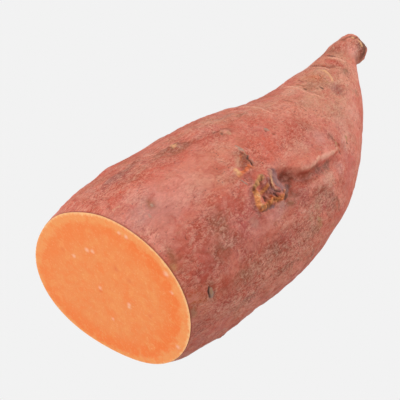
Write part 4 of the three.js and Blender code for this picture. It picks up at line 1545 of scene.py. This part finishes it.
NECK_STROKES: tuple[Stroke, ...] = (
    Stroke(
        Tint.BLUSH,
        pixels((281, 87.5), (290, 86.5), (298, 88), (304, 91), (312, 94), (320, 97)),
        0.6, 0.35, 1.0,
    ),
    Stroke(Tint.BARK, pixels((303.5, 87.6), (306, 88.6)), 0.35, -0.1, 0.7),
    Stroke(Tint.BARK, pixels((308.5, 90), (310.5, 90.6)), 0.3, -0.1, 0.6),
    Stroke(Tint.BARK, pixels((312.5, 91.2), (315, 92)), 0.3, -0.1, 0.6),
    Stroke(Tint.OLIVE, pixels((296, 84), (303, 85.5), (312, 86.5), (318, 88.5)), 0.5, -0.1, 0.7),
    Stroke(Tint.BROWN, pixels((299, 80), (303, 82)), 0.6, 0.0, 0.7),
    Stroke(Tint.ORANGE, pixels((307, 77), (312, 76), (317, 77.5)), 0.9, 0.0, 0.5, True),
    Stroke(Tint.STRAW, pixels((323, 74.5), (326, 76.5)), 0.4, 0.1, 0.6),
    Stroke(Tint.STRAW, pixels((326.5, 81), (329.5, 82.5)), 0.45, 0.1, 0.6),
    Stroke(Tint.DUSK, pixels((317.5, 82.5), (320, 83.5)), 0.3, -0.1, 0.7),
    Stroke(Tint.DUSK, pixels((324, 78), (325.5, 79)), 0.35, -0.1, 0.7),
    Stroke(Tint.BROWN, pixels((306, 81), (308, 82)), 0.35, -0.1, 0.7),
    Stroke(Layer.CORK, pixels((303, 80), (315, 79), (326, 79)), 2.6, 0.0, 0.45),
    Stroke(Tint.BLUSH, pixels((303.5, 107), (306, 109.5)), 0.3, 0.15, 0.7),
    Stroke(Tint.TAN, pixels((277, 96), (283, 97.5)), 0.35, 0.1, 0.6),
    Stroke(Tint.TAN, pixels((286, 103), (291, 104.5)), 0.3, 0.1, 0.5),
    Stroke(Tint.BROWN, pixels((346, 62), (347.5, 66)), 0.4, 0.0, 0.5),
    Stroke(Tint.TAN, pixels((344.5, 72.5), (346.5, 73.8)), 0.4, 0.1, 0.8),
    Stroke(Tint.DARK, pixels((344.5, 71), (346.5, 71.2)), 0.4, -0.1, 0.7),
    Stroke(None, pixels((281, 85), (291, 85), (301, 86), (313, 90), (322, 95)), 0.8, -0.2),
    Stroke(Tint.CREAM, pixels((284.5, 98), (289, 99.5)), 0.35, 0.2, 0.6),
    Stroke(
        Tint.OLIVE,
        pixels((282, 100), (290, 102), (296, 103), (301, 107), (306, 110)),
        0.35, -0.2, 0.8,
    ),
    Stroke(Tint.BLUSH, pixels((293, 100.5), (299, 105.5)), 0.35, 0.2, 0.7),
    Stroke(Tint.BLUSH, pixels((240, 107), (252, 107), (262, 109), (273.5, 113.5)), 0.55, 0.25, 0.8),
    Stroke(Tint.BROWN, pixels((312, 65), (320, 65.3), (328, 67), (335, 66)), 1.1, -0.35, 0.9, True),
    Stroke(Tint.BROWN, pixels((316, 65.2), (322, 65.8), (328, 67.4)), 0.35, -0.1, 0.4),
    Stroke(Tint.BLUSH, pixels((312, 68), (318, 66.8), (324, 67.5), (328, 69.5)), 0.45, 0.3, 1.0),
    Stroke(Tint.BLUSH, pixels((311, 70.5), (316, 69.8), (321, 71)), 0.35, 0.15, 0.8),
    Stroke(
        Tint.TAN,
        pixels((319, 71), (325, 71.5), (328.5, 74.5), (331.5, 78.5), (333, 82)),
        0.85, 0.3, 0.8,
    ),
    Stroke(
        Tint.CREAM,
        pixels((321, 70.5), (325, 71.2), (328.5, 74), (331.5, 78), (332.5, 80.5)),
        0.5, 0.1, 0.6,
    ),
    Stroke(Tint.TAN, pixels((335, 75), (337, 80)), 0.5, 0.1, 0.6),
    Stroke(Tint.DUSK, pixels((327, 55), (331, 55.8), (335, 57)), 0.5, -0.2, 0.9),
    Stroke(Tint.DARK, pixels((329, 55.3), (333, 56)), 0.3, 0.0, 0.8),
    Stroke(Tint.BLUSH, pixels((328, 57.5), (334, 58.5), (340, 59.5), (344, 62)), 0.45, 0.2, 0.9),
    Stroke(Tint.RED, pixels((328, 61), (336, 63), (342, 66)), 1.2, 0.0, 0.8, True),
    Stroke(Tint.DARK, pixels((320, 87), (323.5, 89)), 0.4, -0.2, 0.8),
    Stroke(Tint.BARK, pixels((319.5, 75), (321, 76.5)), 0.3, -0.1, 0.7),
    Stroke(Tint.STRAW, pixels((313, 78), (316, 80)), 0.4, 0.1, 0.6),
    Stroke(Tint.STRAW, pixels((319, 81), (323, 82)), 0.4, 0.1, 0.5),
    Stroke(Tint.BARK, pixels((311, 82), (313, 83)), 0.35, -0.1, 0.6),
    Stroke(Tint.BARK, pixels((343, 40), (347, 41)), 0.35, -0.1, 0.6),
    Stroke(Tint.BROWN, pixels((342, 40), (350, 37), (358, 38.5)), 0.9, 0.0, 0.8, True),
    Stroke(Tint.BARK, pixels((345, 38), (350, 37.2), (357, 38.5)), 0.4, 0.0, 0.8),
    Stroke(Tint.DUSK, pixels((361.5, 42.5), (364.5, 49), (362.5, 57)), 1.8, 0.0, 1.0, True),
    Stroke(Tint.DUSK, pixels((358.5, 45), (361, 51), (361, 57)), 0.8, 0.0, 0.8, True),
    Stroke(Tint.BARK, pixels((363, 44), (364.8, 49), (363.5, 54)), 1.1, 0.0, 0.8),
    Stroke(Tint.TAN, places((153.7, 60), (153.9, 10), (153.7, 320)), 0.5, 0.0, 0.5),
    Stroke(Tint.CREAM, pixels((352, 37.5), (353, 38)), 0.4, 0.2, 0.9),
    Stroke(Tint.CREAM, pixels((357.5, 39.5), (360.3, 42.5), (362, 46)), 0.4, 0.15, 0.9),
    Stroke(Tint.CREAM, ring(153.4, 200, 420), 0.4, 0.15, 0.7),
    Stroke(Tint.GREY, pixels((359, 99), (361, 107)), 0.35, 0.0, 0.5),
    Stroke(Tint.BARK, pixels((343, 70), (346, 69.5), (347.5, 72)), 0.35, -0.2, 0.7),
)

BODY_STROKES: tuple[Stroke, ...] = (
    Stroke(Tint.BROWN, pixels((211, 285), (212, 300)), 1.6, -0.2, 0.6, soft=True),
    Stroke(Tint.GREY, pixels((211, 290), (212.5, 296.5)), 0.9, 0.25, 1.0),
    Stroke(Tint.STRAW, pixels((211, 289.5), (211.5, 293)), 0.4, 0.0, 0.6),
    Stroke(Tint.DARK, pixels((209.5, 286.5), (208.3, 291), (210, 297.5)), 0.4, -0.35, 0.85),
    Stroke(Tint.DUSK, pixels((214.5, 291), (214.5, 296)), 0.4, -0.2, 0.6),
    Stroke(Tint.DUSK, pixels((163, 150), (170, 150.5), (179, 149)), 0.8, -0.1, 0.7, True),
    Stroke(Tint.BROWN, pixels((179, 146), (188, 143)), 1.2, -0.1, 0.7, True),
    Stroke(Tint.TAN, pixels((170.5, 146.3), (174, 145.8), (177, 147.5)), 0.6, 0.3, 0.9),
    Stroke(Tint.DUSK, pixels((213, 133), (218, 131)), 0.7, -0.2, 0.7, True),
    Stroke(Tint.TAN, pixels((222.5, 132.3), (226, 132.3), (229, 133.5)), 1.0, 0.3, 0.9),
    Stroke(Tint.OLIVE, pixels((149.5, 202), (151.5, 206)), 1.4, -0.1, 0.9, True),
    Stroke(Tint.BARK, pixels((154.5, 203.5), (155, 206.5)), 0.35, -0.1, 0.5),
    Stroke(Tint.GREY, pixels((151.3, 204.5), (152.3, 206.5)), 0.5, 0.15, 0.8),
    Stroke(Tint.GREY, pixels((149, 214.5), (150.5, 217)), 0.6, 0.1, 0.6),
    Stroke(Tint.DUSK, pixels((216, 163), (220.5, 160.5), (225.5, 162.5)), 0.4, -0.15, 0.45),
    Stroke(Tint.DARK, pixels((216.3, 168.2), (217, 168.5)), 0.25, -0.1, 0.7),
    Stroke(Tint.GREY, pixels((265, 129), (269, 131)), 0.7, 0.2, 0.8),
    Stroke(Tint.BARK, pixels((265, 131), (267, 132)), 0.35, -0.2, 0.6),
    Stroke(Tint.BARK, pixels((271, 133), (275, 135.5)), 0.4, -0.15, 0.5),
    Stroke(Tint.DARK, pixels((240, 113.8), (243, 113.4)), 0.35, -0.1, 0.5),
    Stroke(Tint.DUSK, pixels((186.5, 233), (185.3, 237), (186.5, 240)), 0.35, -0.2, 0.7),
    Stroke(Tint.BROWN, pixels((167.5, 230), (165.5, 233), (167.5, 236)), 0.35, -0.2, 0.6),
    Stroke(Tint.PINK, pixels((197.6, 279.5), (198.4, 282)), 0.35, 0.2, 1.0),
    Stroke(Tint.DARK, pixels((200, 276), (200, 278)), 0.3, -0.1, 0.6),
    Stroke(Tint.TAN, pixels((112, 210), (117, 208), (120, 206)), 0.4, 0.1, 0.8),
    Stroke(Tint.TAN, pixels((80, 195), (86, 193)), 0.5, 0.1, 0.6),
    Stroke(Tint.TAN, pixels((235, 303), (239, 300)), 0.4, 0.15, 0.8),
    Stroke(Tint.TAN, pixels((240, 297), (243, 295.5)), 0.35, 0.1, 0.6),
    Stroke(Tint.DUSK, pixels((243, 303), (249, 299)), 0.4, -0.2, 0.6),
    Stroke(Tint.TAN, pixels((317, 204), (318, 209)), 0.6, 0.1, 0.6),
    Stroke(Tint.STRAW, pixels((318.5, 217), (321, 225)), 0.4, 0.1, 0.7),
    Stroke(Tint.TAN, pixels((310.5, 214), (312.5, 222)), 0.35, 0.1, 0.6),
    Stroke(Tint.BROWN, pixels((315, 216), (316, 224)), 0.5, -0.1, 0.6),
    Stroke(Tint.PINK, pixels((284, 212), (287, 217)), 0.5, 0.1, 0.5),
    Stroke(Tint.RED, places((22, 203), (45, 201), (67, 200), (85, 190)), 1.0, 0.0, 0.6, soft=True),
)

STROKES = SCAR_STROKES + UPPER_SCAR_STROKES + CREASE_STROKES + NECK_STROKES + BODY_STROKES

LATEX_DROPS: tuple[Drop, ...] = (
    Drop(Pixel(87, 250), 0.55),
    Drop(Pixel(92.5, 251.5), 0.5),
    Drop(Pixel(74, 256), 0.45),
    Drop(Pixel(126, 237), 0.5),
    Drop(Pixel(119, 233), 0.4),
    Drop(Pixel(166, 274), 0.6),
    Drop(Pixel(172, 293), 0.4),
    Drop(Pixel(129, 304.5), 0.45),
    Drop(Pixel(129, 307), 0.45),
    Drop(Pixel(100, 288), 0.45),
    Drop(Pixel(100.5, 291), 0.5, deep=True),
    Drop(Pixel(62.5, 249), 0.6, deep=True),
    Drop(Pixel(116, 269), 0.7, deep=True),
    Drop(Pixel(129, 281), 0.6, deep=True),
    Drop(Pixel(150, 316), 0.6, deep=True),
    Drop(Pixel(178, 347), 0.5),
    Drop(Pixel(113, 319), 0.35),
)

EYES: tuple[Eye, ...] = (
    Eye(Pixel(174, 146.5), (1.9, 0.9), 15, fill=Tint.CREAM),
    Eye(Pixel(224.5, 132), (1.7, 1.2), 0, fill=Tint.PINK),
    Eye(Pixel(345, 71.5), (1.1, 1.0), fill=Tint.TAN),
    Eye(Place(34, 352), (3.0, 1.6), 10, fill=Tint.OCHRE),
    Eye(Place(16, 312), (2.0, 1.2), 0),
    Eye(Place(70, 318), (2.6, 1.4), -15, fill=Tint.CREAM),
    Eye(Place(95, 338), (2.0, 1.2), 20),
    Eye(Place(112, 20), (1.6, 1.1), 0),
    Eye(Place(78, 22), (1.8, 1.1), 0, fill=Tint.PINK),
    Eye(Place(50, 232), (2.4, 1.4), 5),
    Eye(Place(86, 252), (2.2, 1.2), 0, fill=Tint.OCHRE),
    Eye(Place(24, 215), (1.6, 1.2), 80),
    Eye(Place(112, 222), (1.6, 1.0), 0),
    Eye(Place(126, 298), (1.4, 0.9), 0),
)

FINE_AREAS: tuple[FineArea, ...] = (
    FineArea(Pixel(269, 192), 5.6),
    FineArea(Pixel(244, 158), 3.0),
    FineArea(Pixel(211, 293), 1.6),
)


@dataclass(frozen=True)
class Lamp:
    """A soft square light that points at the root. Its place and size are in metres."""

    name: str
    at: tuple[float, float, float]
    size: float
    power: float

    def build(self) -> None:
        """Makes the light."""
        data = bpy.data.lights.new(self.name, "AREA")
        data.size = self.size
        data.energy = self.power
        light = bpy.data.objects.new(self.name, data)
        light.location = self.at
        light.rotation_euler = (-Vector(self.at)).to_track_quat("-Z", "Y").to_euler()
        bpy.context.scene.collection.objects.link(light)


@dataclass(frozen=True)
class Studio:
    """A pale floor that casts and takes no shadow, and soft light from above and both sides."""

    lamps: tuple[Lamp, ...] = (
        Lamp("left_light", (-1.18, 0.32, 0.45), 0.7, 12.0),
        Lamp("right_light", (1.04, -0.6, 0.49), 0.7, 8.3),
        Lamp("top_light", (0.57, 0.48, 1.07), 0.6, 5.0),
        Lamp("near_light", (-0.8, -0.9, 0.3), 0.7, 1.1),
    )
    floor_metres: float = 6.0
    floor_gap: float = 0.2
    pale: Colour = shade(242, 242, 242)
    bounce: float = 0.5
    ambient: float = 0.24

    def build(self) -> None:
        """Makes the floor, the surroundings and the lights."""
        bpy.context.scene.view_settings.view_transform = "Standard"
        self._floor()
        self._surroundings()
        for lamp in self.lamps:
            lamp.build()

    def _floor(self) -> None:
        """Makes the floor, which is as bright as the background wherever it is seen."""
        mesh = bmesh.new()
        bmesh.ops.create_grid(mesh, x_segments=1, y_segments=1, size=self.floor_metres)
        data = bpy.data.meshes.new("floor")
        mesh.to_mesh(data)
        mesh.free()
        floor = bpy.data.objects.new("floor", data)
        floor.location.z = -self.floor_gap * MM
        bpy.context.scene.collection.objects.link(floor)
        board = Board("floor_finish")
        seen = board.node("ShaderNodeLightPath", output="Is Camera Ray")
        strength = seen * (1 - self.bounce) + self.bounce
        inputs = {"Color": self.pale, "Strength": strength}
        data.materials.append(board.finish(board.node("ShaderNodeEmission", None, inputs)))

    def _surroundings(self) -> None:
        """Gives the scene its even light and pale background."""
        world = bpy.data.worlds.new("studio")
        bpy.context.scene.world = world
        world.use_nodes = True
        nodes = world.node_tree.nodes
        links = world.node_tree.links
        nodes.clear()
        seen = nodes.new("ShaderNodeBackground")
        seen.inputs["Color"].default_value = (*self.pale, 1)
        lighting = nodes.new("ShaderNodeBackground")
        lighting.inputs["Color"].default_value = (1, 1, 1, 1)
        lighting.inputs["Strength"].default_value = self.ambient
        path = nodes.new("ShaderNodeLightPath")
        choice = nodes.new("ShaderNodeMixShader")
        links.new(path.outputs["Is Camera Ray"], choice.inputs[0])
        links.new(lighting.outputs[0], choice.inputs[1])
        links.new(seen.outputs[0], choice.inputs[2])
        output = nodes.new("ShaderNodeOutputWorld")
        links.new(choice.outputs[0], output.inputs["Surface"])


def main() -> None:
    """Builds the camera, the root and the studio in order."""
    logging.basicConfig(level=logging.INFO, format="%(name)s: %(message)s")
    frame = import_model()
    camera = PhotoCamera()
    camera.build()
    log.info("camera stands at %s", tuple(round(part, 1) for part in camera.position))
    root = CutSweetPotato(camera).build(frame["nodes"][NODE])
    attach(root, BODY)
    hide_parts(NODE)
    triangles = sum(len(face.vertices) - 2 for face in root.data.polygons)
    log.info("root: dressed with %d triangles", triangles)
    Studio().build()
    log.info("studio: ready")


if __name__ == "__main__":
    main()
